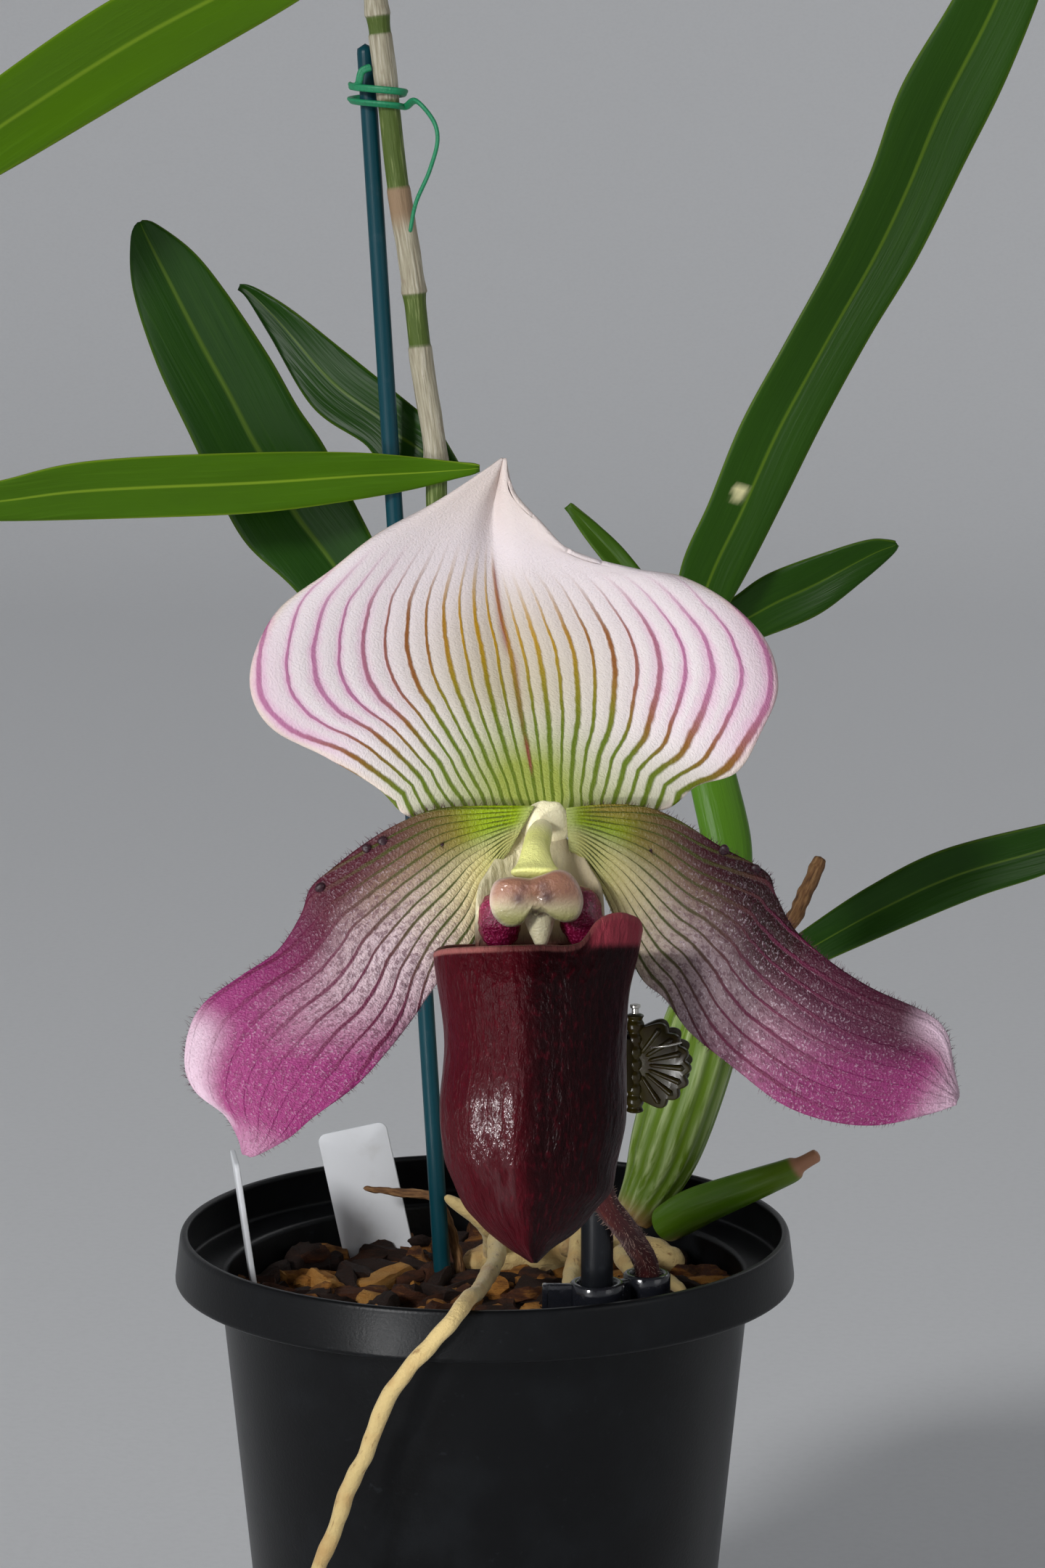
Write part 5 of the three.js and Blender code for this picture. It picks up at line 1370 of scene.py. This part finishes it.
class ORCHID_OT_stem(bpy.types.Operator):
    """Make the hairy stem and its bract"""

    bl_idname = "orchid.stem"
    bl_label = "Flowering stem"

    def execute(self, context):
        stem = tube(STEM_ROUTE, STEM_SIZE, 40, 320, 0,
                    lump=lambda t, angle, place: 0.06 * np.cos(9 * angle) + 0.06 * rough(place, 1.2, 31),
                    values={"old": lambda t, angle: 0.8 * fall(t, 0.14, 0.22)})
        radius = through(*STEM_SIZE)
        route = smooth_route(STEM_ROUTE, STEM_STEPS)
        ahead = unit(np.gradient(route, axis=0))
        random = np.random.default_rng(11)
        pick = random.integers(100, 560, settings("plant").stem_hairs)
        outward = unit(np.cross(ahead[pick], random.normal(size=(len(pick), 3))))
        roots = route[pick] + outward * (radius(pick / STEM_STEPS) - 0.05)[:, None]
        lean = outward + ahead[pick] * random.uniform(0.0, 0.7, (len(pick), 1))
        fuzz = hairs(roots, lean, random.uniform(0.3, 0.85, len(pick)), 0.06, 1, 12)
        make_piece("flowering_stem", [stem, fuzz],
                   [made_of(stem_skin), made_of(hair_fibre, "Pale stem hairs", "#957c70")])

        count, columns = 60, 48
        share = np.arange(count + 1) / count
        place = mix(0.66, 0.79, share)
        step = np.round(place * STEM_STEPS).astype(int)
        centre, ahead = route[step], ahead[step]
        side = unit(np.array([1.0, 0, 0]) - ahead * ahead[:, :1])
        rear = np.cross(side, ahead)
        size = mix(radius(place) + SEAT + 0.4, 4, share * share)
        reach = mix(1.9, 0.25, share ** 1.5)
        angle = (math.pi / 2 + reach[:, None] * (1 - 2 * np.arange(columns + 1) / columns))[..., None]
        ring = side[:, None] * np.cos(angle) + rear[:, None] * np.sin(angle)
        rows = centre[:, None] + size[:, None, None] * ring
        random, hair_count = np.random.default_rng(14), 500
        r, c = random.integers(2, count, hair_count), random.integers(0, columns + 1, hair_count)
        away = unit(np.cross(np.gradient(rows, axis=1), np.gradient(rows, axis=0)))[r, c]
        away *= np.sign(np.sum(away * (rows[r, c] - centre[r]), axis=1))[:, None]
        lengths = random.uniform(0.3, 0.8, hair_count)
        fuzz = hairs(rows[r, c] + away * 0.25, away + (0, 0, 0.3), lengths, 0.08, 1, 15)
        make_piece("bract", [sheet(rows, 0.6), fuzz],
                   [made_of(bract_skin), made_of(hair_fibre, "Pale bract hairs", "#957c70")])
        return {"FINISHED"}


# Dorsal sepal and synsepal

DORSAL_LEFT = [(722, 1118), (640, 1123), (566, 1126), (519, 1085), (449, 1043), (377, 1005),
               (347, 958), (350, 903), (385, 839), (454, 787), (519, 737), (601, 692), (668, 647),
               (690, 631)]
DORSAL_RIGHT = [(762, 1118), (840, 1121), (917, 1115), (960, 1083), (1016, 1063), (1049, 1008),
                (1072, 948), (1056, 884), (1006, 831), (942, 796), (887, 787), (797, 767), (748, 724),
                (708, 685), (698, 631)]
DORSAL_MIDRIB = [(742, 1118), (728, 1060), (715, 1000), (700, 900), (690, 850), (680, 775), (680, 700),
                 (694, 631)]
DORSAL_SPINE = through((0, 2.1), (0.15, 2.2), (0.45, 1), (0.75, -1.5), (1, -4.5))
# Vein fan in millimetres: from one vein to the next, how that widens outwards, where the midrib runs
VEIN_STEP = through((0, 0.9), (0.05, 1.2), (0.1, 1.3), (0.15, 1.47), (0.2, 1.63), (0.3, 1.87),
                    (0.45, 1.83), (0.6, 1.56), (0.7, 1.07), (0.8, 0.65), (0.9, 0.29), (1, 0.02))
VEIN_SPREAD = through((0.2, 0), (0.3, 0.032), (0.45, 0.098), (0.6, 0.093), (0.7, 0.09), (0.8, 0.066),
                      (1, 0.002))
MIDRIB_SHIFT = through((0, 0.05), (0.1, 0.33), (0.2, 0.62), (0.3, 0.57), (0.45, 0.35), (0.6, 0),
                       (0.7, -0.11), (1, 0))
SYNSEPAL_LEFT = [(724, 1173), (690, 1215), (655, 1300), (650, 1400), (680, 1500), (732, 1570)]
SYNSEPAL_RIGHT = [(760, 1173), (800, 1215), (838, 1300), (838, 1400), (800, 1500), (744, 1570)]


class ORCHID_OT_dorsal(bpy.types.Operator):
    """Make the striped upper sepal"""

    bl_idname = "orchid.dorsal"
    bl_label = "Dorsal sepal"

    def execute(self, context):
        s, v, px, py, half_width = blade_grid(DORSAL_LEFT, DORSAL_RIGHT, 150, 170, DORSAL_MIDRIB)
        off = np.abs(s)

        # The count of veins from the midrib outwards, whole on a vein, and the gap between two
        x = s * half_width - MIDRIB_SHIFT(v)
        step, spread = VEIN_STEP(v), np.maximum(VEIN_SPREAD(v), 1e-4)
        count = np.sign(x) * (np.sqrt(step ** 2 + 4 * spread * np.abs(x)) - step) / (2 * spread)
        u = np.abs(count)
        gap = step + 2 * spread * u

        opened = rise(v, 0.16, 0.5) * fall(v, 0.7, 1)
        depth = DORSAL_SPINE(v) - 3.2 * s * s * opened + 2.2 * off ** 8 * opened
        depth += 0.8 * np.exp(-(s / 0.12) ** 2) * opened
        depth += 1.5 * np.exp(-(s / 0.16) ** 2) * rise(v, 0.6, 0.85)
        furrows = rise(gap, 0.9, 2.2) * fall(v, 0.5, 0.75) * fall(off, 0.8, 1)
        depth += 0.07 * np.cos(FULL_TURN * count) * furrows
        ripples = np.sin(26 * v + 2 * np.sign(s)) * rise(v, 0.2, 0.35) * fall(v, 0.8, 0.98)
        depth += 0.5 * off ** 5 * ripples

        fade = np.where(s > 0, fall(v, 0.48, 0.7), fall(v, 0.55, 0.78))
        brown_start = mix(0.46, 0.26, rise(u, 3, 9))
        pink = rise(v, 0.29, 0.42)
        values = {
            "vein": count,
            "vein_gap": gap,
            "vein_width": mix(0.62, 1.0, rise(v, 0.04, 0.3)) * mix(1, 0.62, rise(v, 0.35, 0.65)),
            "vein_ink": fade * rise(gap, 0.25, 0.6) * mix(1, 0.7, rise(u, 6, 10) * pink),
            "vein_glow": rise(u, 6, 9) * rise(v, 0.28, 0.38) * fade,
            "vein_ochre": rise(v, 0.22, 0.55),
            "vein_brown": rise(v, brown_start - 0.07, brown_start + 0.07) * rise(u, 2.5, 6),
            "vein_pink": rise(u, 6, 9.5) * pink,
            "tint_green": np.clip(0.95 * fall(v, 0.02, 0.34)
                                  + 0.35 * fall(v, 0.25, 0.6) * fall(off, 0.1, 0.7), 0, 1),
            "tint_pink": 0.32 * rise(off, 0.78, 1) * rise(v, 0.25, 0.35) * fall(v, 0.48, 0.62),
            "tint_cream": np.maximum(0.6 * rise(v, 0.7, 0.95), 0.9 * rise(off, 0.95, 1)),
            # Straw down the middle: partly the sepal's own colour, partly painted shade in the central
            # groove
            "tint_straw": 0.5 * np.exp(-(s / 0.3) ** 2) * rise(v, 0.2, 0.35) * fall(v, 0.5, 0.75),
            "spot": np.exp(-((s - 0.03) / 0.016) ** 2) * rise(v, 0.09, 0.14) * fall(v, 0.18, 0.24)
                    + 0.45 * np.exp(-((s - 0.02) / 0.014) ** 2) * rise(v, 0.2, 0.26) * fall(v, 0.4, 0.5)
                    + 0.75 * np.exp(-(s / 0.013) ** 2) * rise(v, 0.42, 0.5) * fall(v, 0.66, 0.74),
        }
        blade = sheet(seen(px, py, depth), PETAL_THICKNESS, values)
        make_piece("dorsal_sepal", [blade], [made_of(dorsal_skin)])
        return {"FINISHED"}


class ORCHID_OT_synsepal(bpy.types.Operator):
    """Make the lower sepal behind the pouch"""

    bl_idname = "orchid.synsepal"
    bl_label = "Synsepal"

    def execute(self, context):
        veins = 6
        s, v, px, py, half_width = blade_grid(SYNSEPAL_LEFT, SYNSEPAL_RIGHT, 40, 70)
        depth = mix(5, 12, np.sqrt(v)) - 1.6 * s * s * v + 4 * v * v
        depth = depth + 0.1 * np.cos(FULL_TURN * veins * s) * rise(v, 0.05, 0.2) * (1 - s ** 8)
        values = {"vein": veins * s, "vein_gap": half_width / veins, "vein_width": 1.0,
                  "vein_ink": 0.9 * rise(v, 0.02, 0.1) * fall(v, 0.7, 0.95), "tint_green": 0.75}
        blade = sheet(seen(px, py, depth), PETAL_THICKNESS, values)
        make_piece("synsepal", [blade], [made_of(dorsal_skin)])
        return {"FINISHED"}


# Petals: both edges, where the main vein runs, warts as (px, py, size), how much painted shade darkens the
# petal, where the pale spot of its upper margin starts, and the seed of its hairs
PETALS = {
    "petal_left": (
        [(737, 1110), (662, 1110), (598, 1115), (544, 1137), (500, 1164), (456, 1198), (428, 1224),
         (414, 1262), (382, 1310), (331, 1345), (281, 1382), (260, 1421), (255, 1469), (270, 1504),
         (308, 1533), (329, 1567), (335, 1590)],
        [(703, 1171), (690, 1191), (676, 1235), (656, 1293), (603, 1354), (568, 1404), (534, 1448),
         (490, 1496), (433, 1538), (399, 1567), (358, 1590), (345, 1594)],
        [(0.15, -0.13), (0.3, -0.1), (0.4, -0.07), (0.5, -0.12), (0.6, -0.17), (0.7, -0.13), (0.8, -0.1)],
        [(526, 1160, 0.75), (505, 1170, 0.7), (441, 1222, 0.75), (610, 1165, 0.3)], 0.0, 0.68, 41),
    "petal_right": (
        [(780, 1113), (834, 1108), (887, 1111), (934, 1129), (991, 1165), (1055, 1201), (1069, 1233),
         (1094, 1279), (1141, 1322), (1201, 1361), (1276, 1395), (1304, 1422), (1313, 1465), (1321, 1510)],
        [(784, 1172), (801, 1183), (826, 1222), (839, 1247), (880, 1342), (916, 1376), (951, 1422),
         (1009, 1469), (1076, 1520), (1141, 1544), (1209, 1550), (1280, 1535), (1318, 1522)],
        [(0.1, 0), (0.2, -0.06), (0.3, -0.1), (0.4, -0.11), (0.5, -0.17), (0.6, -0.24), (0.7, -0.27),
         (1, -0.28)],
        [(999, 1171, 0.75), (1041, 1199, 0.7), (896, 1170, 0.3)], 0.7, 0.78, 43),
}
PETAL_VEIN_STEP = through((0.05, 0.13), (0.15, 0.14), (0.2, 0.15), (0.3, 0.16), (0.4, 0.19), (0.5, 0.24),
                          (0.6, 0.26), (1, 0.3))
PETAL_SWEEP = through((0, 1), (0.35, -1.1), (0.7, -4.5), (1, -5))


def petal_blade(upper, lower, main_vein, darker, lobe):
    """A petal's blade, with its pixels and the points of its middle surface."""
    s, v, px, py, half_width = blade_grid(upper, lower, 90, 170)
    step = PETAL_VEIN_STEP(v)
    count = (s - through(*main_vein)(v)) / step
    opened = rise(v, 0.05, 0.4)
    depth = PETAL_SWEEP(v) - 1.6 * (1 - s * s) * opened * (1 - 0.7 * v) - 0.9 * s * opened
    depth += 0.7 * np.abs(s) ** 3 * np.sin(v * 17) * opened * (1 - v)
    depth += 0.1 * np.cos(FULL_TURN * count) * rise(v, 0.06, 0.15) * fall(v, 0.6, 0.8) * (1 - s ** 8)
    rows = seen(px, py, depth)
    upper_half = fall(s, -0.45, 0.25)
    margin = fall(s, -0.9, -0.25)
    values = {
        "vein": count,
        "vein_gap": half_width * step,
        "vein_width": mix(0.4, 1, rise(v, 0.04, 0.3)),
        "vein_ink": rise(v, 0.0, 0.06) * fall(v, 0.55, 0.8) * mix(0.95, 0.8, upper_half),
        "olive_vein": fall(v, 0.25, 0.5),
        # The speckle value places the dark speckles and also the painted glints
        "speckle": rise(v, 0.12, 0.4) * mix(1, 0.3, margin) * mix(0.5, 1, fall(v, 0.5, 0.8)),
        # Painted shade: darkens the shaded petal, most its upper half, and both petals' upper margins
        "shade": darker * (0.35 + 0.8 * upper_half) * rise(v, 0.2, 0.5) * fall(v, 0.8, 0.92)
                 + (0.35 + 0.3 * darker) * margin * rise(v, 0.06, 0.2) * fall(v, 0.45, 0.6),
        "straw": (1 - upper_half) * fall(v, 0.1, 0.42),
        "olive": np.clip(upper_half * fall(v, 0.12, 0.3)
                         + 0.3 * (1 - upper_half) * fall(v, 0.05, 0.16), 0, 1),
        # On the shaded petal, its share of painted shade also browns the margin, deepens the wine, dulls
        # the magenta and pales the tip
        "brown": np.maximum(0.75 * upper_half * rise(v, 0.08, 0.17) * fall(v, 0.3, 0.5),
                            1.2 * darker * margin * rise(v, 0, 0.08) * fall(v, 0.2, 0.4)),
        "wine": np.clip(margin * rise(v, 0.12, 0.32) * fall(v, 0.65, 0.85)
                        + 0.4 * upper_half * rise(v, 0.28, 0.45) * fall(v, 0.5, 0.7)
                        + 0.5 * darker * rise(v, 0.2, 0.5), 0, 1),
        "magenta": rise(v + 0.1 * np.abs(s), 0.46, 0.76) * (1 - darker * 0.6 * margin),
        "pale": np.maximum(fall(s, -0.9, -0.35) * rise(v, lobe, lobe + 0.08) * fall(v, 0.9, 0.99),
                           rise(v, 0.86, 0.99) * mix(0.35, 1, darker)),
        "cream": 0.6 * fall(v, 0, 0.03),
    }
    return sheet(rows, PETAL_THICKNESS, values), px, py, rows


class ORCHID_OT_petals(bpy.types.Operator):
    """Make both petals with their warts and hairs"""

    bl_idname = "orchid.petals"
    bl_label = "Petals"

    def execute(self, context):
        flower = settings("flower")
        longest, width = flower.hair_length / MM, flower.hair_width / MM
        tuft, flatness = 9, 0.55
        for name, (upper, lower, main_vein, warts, darker, lobe, seed) in PETALS.items():
            blade, px, py, rows = petal_blade(upper, lower, main_vein, darker, lobe)
            last = len(rows) - 1
            parts = [blade]
            random = np.random.default_rng(seed)
            for edge, inner, count, share in ((0, 1, 330, 1), (-1, -2, 150, 0.6)):
                pick = random.integers(int(last * 0.04), last - 1, count)
                outward = unit(rows[pick, edge] - rows[pick, inner]) + random.normal(size=(count, 3)) * 0.35
                lengths = random.uniform(0.35, 1, count) * longest * share
                parts.append(hairs(rows[pick, edge], outward, lengths, width, 1, 50 + count))
            for x, y, size in warts:
                away = np.hypot(px - x, py - y)
                centre = rows[np.unravel_index(np.argmin(away), away.shape)] - AHEAD * 0.35
                radii = np.array([size, -flatness * size, size])
                parts.append(blob(centre, radii, 12, 20, 0.8, x, 0.25 * size, (0, 2, 1), material=2))
                outward = unit(random.normal(size=(tuft, 3)) - AHEAD * 1.2)
                lengths = random.uniform(0.6, 1.2, tuft)
                parts.append(hairs(centre + outward * size * 0.6, outward, lengths, width, 1, x))
            wart = made_of(hair_fibre, "Dark petal wart", "#2a0c18")
            skins = [made_of(petal_skin), made_of(hair_fibre, "Dark petal hairs", "#4a1430"), wart]
            make_piece(name, parts, skins)
        return {"FINISHED"}


# Pouch: pixels of its sides and depths of its front and back, by picture height; its rim, by angle
BAG_LEFT = through((1250, 592), (1316, 597), (1346, 601), (1415, 611), (1453, 612), (1526, 605),
                   (1594, 612), (1624, 623), (1667, 644), (1710, 687), (1740, 732))
BAG_RIGHT = through((1250, 892), (1304, 882), (1364, 868), (1453, 863), (1543, 863), (1607, 849),
                    (1641, 842), (1663, 824), (1697, 794), (1718, 764), (1740, 740))
BAG_FRONT = through((1250, -23), (1305, -25), (1360, -27), (1430, -28), (1520, -27.5), (1600, -25),
                    (1660, -21), (1700, -17.5), (1740, -14))
BAG_BACK = through((1250, -1), (1305, -1.2), (1400, -1), (1500, -2), (1600, -5), (1660, -8),
                   (1700, -10.5), (1740, -13))
BAG_RIM = through((-180, 1316), (-150, 1310), (-90, 1305), (-68, 1302), (-58, 1272), (-45, 1261),
                  (-25, 1266), (0, 1284), (30, 1302), (90, 1304), (150, 1306), (180, 1316))
BAG_TIP = 1740
SQUARENESS = 2 / 2.3
REAR_HALF_WIDTH = through((1122, 20), (1145, 28), (1163, 44), (1180, 60), (1200, 72), (1222, 84),
                          (1270, 88), (1345, 88))
REAR_DEPTH = through((1122, 3.2), (1163, 2.8), (1200, 1.8), (1260, 0), (1345, -1.6))
REAR_CURL = through((1122, 0), (1163, 0), (1200, 3.5), (1250, 5.5), (1300, 3.4), (1345, 1.9))


def bag_points(degrees, py, inset):
    """Points of the bag by angle, picture height and distance inside its outer face."""
    c, s = np.cos(np.radians(degrees)), np.sin(np.radians(degrees))
    sideways = np.sign(c) * np.abs(c) ** SQUARENESS
    inward = np.sign(s) * np.abs(s) ** SQUARENESS
    left, right, front, back = BAG_LEFT(py), BAG_RIGHT(py), BAG_FRONT(py), BAG_BACK(py)
    depth = (front + back) / 2
    ridge = -0.5 * np.exp(-((degrees + 96) / 9) ** 2)
    half_width = np.maximum((right - left) / 2 - inset / ((FLOWER_PLANE + depth) * PIXEL), 1)
    half_depth = np.maximum((back - front) / 2 - inset, 0.2)
    return seen((left + right) / 2 + half_width * sideways, py, depth + half_depth * inward + ridge)


def bag_part():
    """The bag: up its outer face from the tip, over the rim and down its inner face."""
    degrees = np.linspace(-180, 180, 180, endpoint=False)
    rim = BAG_RIM(degrees)
    up = np.linspace(0, 1, 111)[:, None] ** 0.8
    turn = np.linspace(0, math.pi, 7)[1:-1, None]
    down = np.linspace(1, 0, 60)[:, None]
    py = np.vstack([mix(BAG_TIP, rim, up), rim - 4 * np.sin(turn), mix(BAG_TIP - 14, rim, down)])
    inset = np.vstack([0 * up, POUCH_THICKNESS * (0.5 - 0.5 * np.cos(turn)), POUCH_THICKNESS + 0 * down])
    inside = np.vstack([0 * up, 0 * turn, 1 + 0 * down])
    at_rim = np.vstack([rise(up, 0.985, 0.995), 1 + 0 * turn, 0 * down])
    rings = bag_points(degrees, py, inset)
    wrinkle = rough(rings * (1.0, 1.0, 0.22), 2.1, 61) * 0.16
    rings = rings + unit(rings - rings.mean(axis=1, keepdims=True)) * wrinkle[..., None]
    around = np.radians(degrees) * 14
    return ringed(rings, {
        "inside": inside,
        "rim": at_rim * mix(0.25, 1, fall(degrees, -120, -100) * rise(degrees, -179, -170)),
        "ear": rise(degrees, -66, -56) * fall(degrees, -10, 20) * fall(py, 1296, 1308),
        # Painted shade: the right side of the bag is darker, away from the light
        "dark": rise(degrees, -100, -86) * fall(degrees, -30, 10) + 0 * py,
        "wax": rise(degrees, -136, -120) * fall(degrees, -103, -97) * rise(py, 1475, 1530)
               * fall(py, 1640, 1700) * (1 - inside),
        "grain": np.stack([around + 0 * py, (BAG_TIP - py) * 0.1, inside * 9 + 0 * py], -1),
    })


class ORCHID_OT_pouch(bpy.types.Operator):
    """Make the pouch with its side lobes"""

    bl_idname = "orchid.pouch"
    bl_label = "Pouch"

    def execute(self, context):
        s = np.linspace(-1, 1, 51)[None]
        py = np.linspace(1345, 1122, 61)[:, None]
        rows = seen(744 + REAR_HALF_WIDTH(py) * s, py, REAR_DEPTH(py) - REAR_CURL(py) * s * s)
        # The cream fades towards the right side: painted shade cast by the column
        cream = fall(py, 1265, 1310) * mix(0.95, 0.6, rise(s, 0.2, 0.8))
        parts = [bag_part(), sheet(rows, POUCH_THICKNESS, {"inside": 0.7, "cream": cream})]
        for px, py in ((688, 1268), (801, 1262)):
            parts.append(blob(seen(px, py, -4.4), (3.1, 2.9, 4.3), 26, 36, 1.1, px, 0.3, material=1))
        make_piece("pouch", parts, [made_of(pouch_skin), made_of(lobe_skin)])
        return {"FINISHED"}


# Column: the outline of its shield in pixels

STAMINODE = [(731, 1210), (703, 1208), (684, 1213), (676, 1228), (675, 1246), (681, 1263), (694, 1275),
             (708, 1277), (720, 1272), (730, 1259), (739, 1262), (750, 1257), (764, 1266), (780, 1271),
             (795, 1266), (803, 1250), (803, 1234), (796, 1216), (784, 1202), (768, 1198), (750, 1204)]


def shield_part():
    """The staminode: a domed two-lobed shield."""
    loop = edge_points([*STAMINODE, STAMINODE[0]], 96)[:-1]
    centre = np.array([739.0, 1237.0])
    high, behind = 1.25, -10.5
    dome = [(r, high * (1 - r ** 4) + 0.15) for r in np.linspace(0.12, 0.94, 16)]
    levels = [(0.02, high), *dome, (1.0, -0.1), (1.0, -0.7), (0.93, -1.0), (0.3, -1.0)]
    share, height = np.array(levels).T[..., None]
    px, py = np.moveaxis(centre + (loop - centre) * share[..., None], -1, 0)
    dip = 0.5 * spot(px, py, 739, 1262, 11) + 0.35 * spot(px, py, 739, 1235, 8)
    beaded = rough(np.stack([px, py, 0 * px], -1) * 0.1, 0.5, 3) * 0.12
    marks = sum(strength * spot(px, py, *place) for strength, *place in (
        (0.8, 715, 1238, 9), (0.8, 754, 1236, 9), (1, 738, 1256, 4), (0.5, 722, 1222, 8),
        (0.5, 748, 1220, 8)))
    return ringed(seen(px, py, behind - height + (dip - beaded) * (height > 0)), {
        "brown": 0.95 * fall(py, 1226, 1268), "green": 0.7 * rise(py, 1240, 1268),
        "white": 0.7 * rise(share, 0.9, 1.0), "mark": np.clip(marks, 0, 1)})


class ORCHID_OT_column(bpy.types.Operator):
    """Make the column and its shield"""

    bl_idname = "orchid.column"
    bl_label = "Column"

    def execute(self, context):
        route = [seen(749, 1140, 1.1), seen(746, 1144, -0.6), seen(739, 1168, -4.6), seen(738, 1205, -9.4)]
        stalk = tube(route, [(0, 1.3), (0.25, 1.8), (0.6, 2.05), (0.85, 2.8), (1, 4.1)], 40, 60, 0.1,
                     (0.5, 0.3), flat=lambda t: mix(1, 0.32, rise(t, 0.55, 0.95)),
                     values={"yellow": lambda t, angle: 0.8 * rise(t, 0.15, 0.45)})
        stigma = tube([seen(740, 1215, -9), seen(743, 1255, -7.4), seen(746, 1306, -8.4)],
                      [(0, 1.6), (0.5, 2.3), (1, 0.7)], 32, 50, 0.08)
        neck = blob(seen(753, 1132, 2.6), (4.0, 1.4, 3.2), 24, 36, 1.6, 5, 0.3)
        make_piece("column", [stalk, shield_part(), stigma, neck], [made_of(column_skin)])
        return {"FINISHED"}


# Stage: each light's place, aim, shape, size, height, share of its power, and spread in degrees

FLOWER_AIM = (0, -0.02, 0.19)
KEY_LIGHTS = {"key": ((-1.35, -1.85, 1.15), FLOWER_AIM, "DISK", 0.45, 0.45, 1, 180)}
FILL_LIGHTS = {
    "fill": ((1.9, -1.4, 0.8), FLOWER_AIM, "DISK", 1.4, 1.4, 1, 180),
    "strip": ((-0.2, -0.31, 0.045), (0, -0.1, 0.145), "RECTANGLE", 0.025, 0.07, 0.0085, 40),
    "rim": ((1.1, 1.7, 1.5), FLOWER_AIM, "DISK", 1.0, 1.0, 0.6, 180),
}


class ORCHID_OT_stage(bpy.types.Operator):
    """Make the floor, the lights and the camera"""

    bl_idname = "orchid.stage"
    bl_label = "Stage"

    def execute(self, context):
        stage = settings("stage")
        flat, wide, high, sides = 1600, 2700, 1900, 96
        profile = [(400, 0), (900, 0), (flat, 0)]
        profile += [(flat + (wide - flat) * math.sin(a), high * (1 - math.cos(a)))
                    for a in np.linspace(0.1, math.pi / 2, 24)]
        angle = np.linspace(0, FULL_TURN, sides, endpoint=False)
        rings = np.array([[(r * math.cos(a), r * math.sin(a), z) for a in angle] for r, z in profile])
        points = np.vstack([rings.reshape(-1, 3), [0, 0, 0]])
        faces = grid_faces(len(rings), sides, closed=True)
        faces += [(len(points) - 1, (i + 1) % sides, i) for i in range(sides)]
        mesh = bpy.data.meshes.new("floor")
        mesh.from_pydata(points * MM, [], faces)
        mesh.shade_smooth()
        mesh.materials.append(made_of(paper_floor))
        floor = show("floor", mesh)

        world = bpy.data.worlds.new("Pale surround")
        world.use_nodes = True
        surround = world.node_tree.nodes["Background"]
        surround.inputs["Color"].default_value = linear("#eef1f5")
        surround.inputs["Strength"].default_value = stage.sky
        context.scene.world = world

        for lights, power in ((KEY_LIGHTS, stage.key_power), (FILL_LIGHTS, stage.fill_power)):
            for name, (place, aim, shape, size, height, share, spread) in lights.items():
                lamp = bpy.data.lights.new(name, "AREA")
                lamp.shape = shape
                lamp.size = size
                lamp.size_y = height
                lamp.energy = power * share
                lamp.spread = math.radians(spread)
                light = show(name, lamp)
                light.location = place
                light.rotation_euler = (Vector(aim) - Vector(place)).to_track_quat("-Z", "Y").to_euler()
                light.visible_camera = False

        lens = bpy.data.cameras.new("camera")
        lens.lens = 100
        lens.sensor_width = 36
        camera = show("camera", lens)
        camera.location = EYE * MM
        camera.rotation_euler = (math.radians(90) - PITCH, 0, 0)
        context.scene.camera = camera
        context.scene.view_settings.view_transform = "Standard"
        return {"FINISHED"}


# Panel and registration

OPERATORS = [
    ORCHID_OT_stage, ORCHID_OT_pot, ORCHID_OT_bark, ORCHID_OT_roots, ORCHID_OT_tags, ORCHID_OT_stakes,
    ORCHID_OT_ring_clip, ORCHID_OT_claw_clip, ORCHID_OT_twist_tie, ORCHID_OT_cane, ORCHID_OT_bulbs,
    ORCHID_OT_leaves, ORCHID_OT_stem, ORCHID_OT_dorsal, ORCHID_OT_petals, ORCHID_OT_synsepal,
    ORCHID_OT_pouch, ORCHID_OT_column,
]


class ORCHID_PT_panel(bpy.types.Panel):
    """Lists the orchid's settings and the steps that build it."""

    bl_label = "Orchid"
    bl_idname = "ORCHID_PT_panel"
    bl_space_type = "VIEW_3D"
    bl_region_type = "UI"
    bl_category = "Orchid"

    def draw(self, context):
        for group in GROUPS:
            box = self.layout.box()
            box.label(text=group.title())
            held = settings(group)
            for name in held.__annotations__:
                box.prop(held, name)
        column = self.layout.column()
        for operator in OPERATORS:
            column.operator(operator.bl_idname)


CLASSES = [*GROUPS.values(), *OPERATORS, ORCHID_PT_panel]


def register():
    for item in CLASSES:
        bpy.utils.register_class(item)
    for name, group in GROUPS.items():
        setattr(bpy.types.Scene, f"orchid_{name}", PointerProperty(type=group))


def unregister():
    for name in GROUPS:
        delattr(bpy.types.Scene, f"orchid_{name}")
    for item in reversed(CLASSES):
        bpy.utils.unregister_class(item)


def main():
    register()
    for operator in OPERATORS:
        step = operator.bl_idname.partition(".")[2]
        getattr(bpy.ops.orchid, step)()


if __name__ == "__main__":
    main()
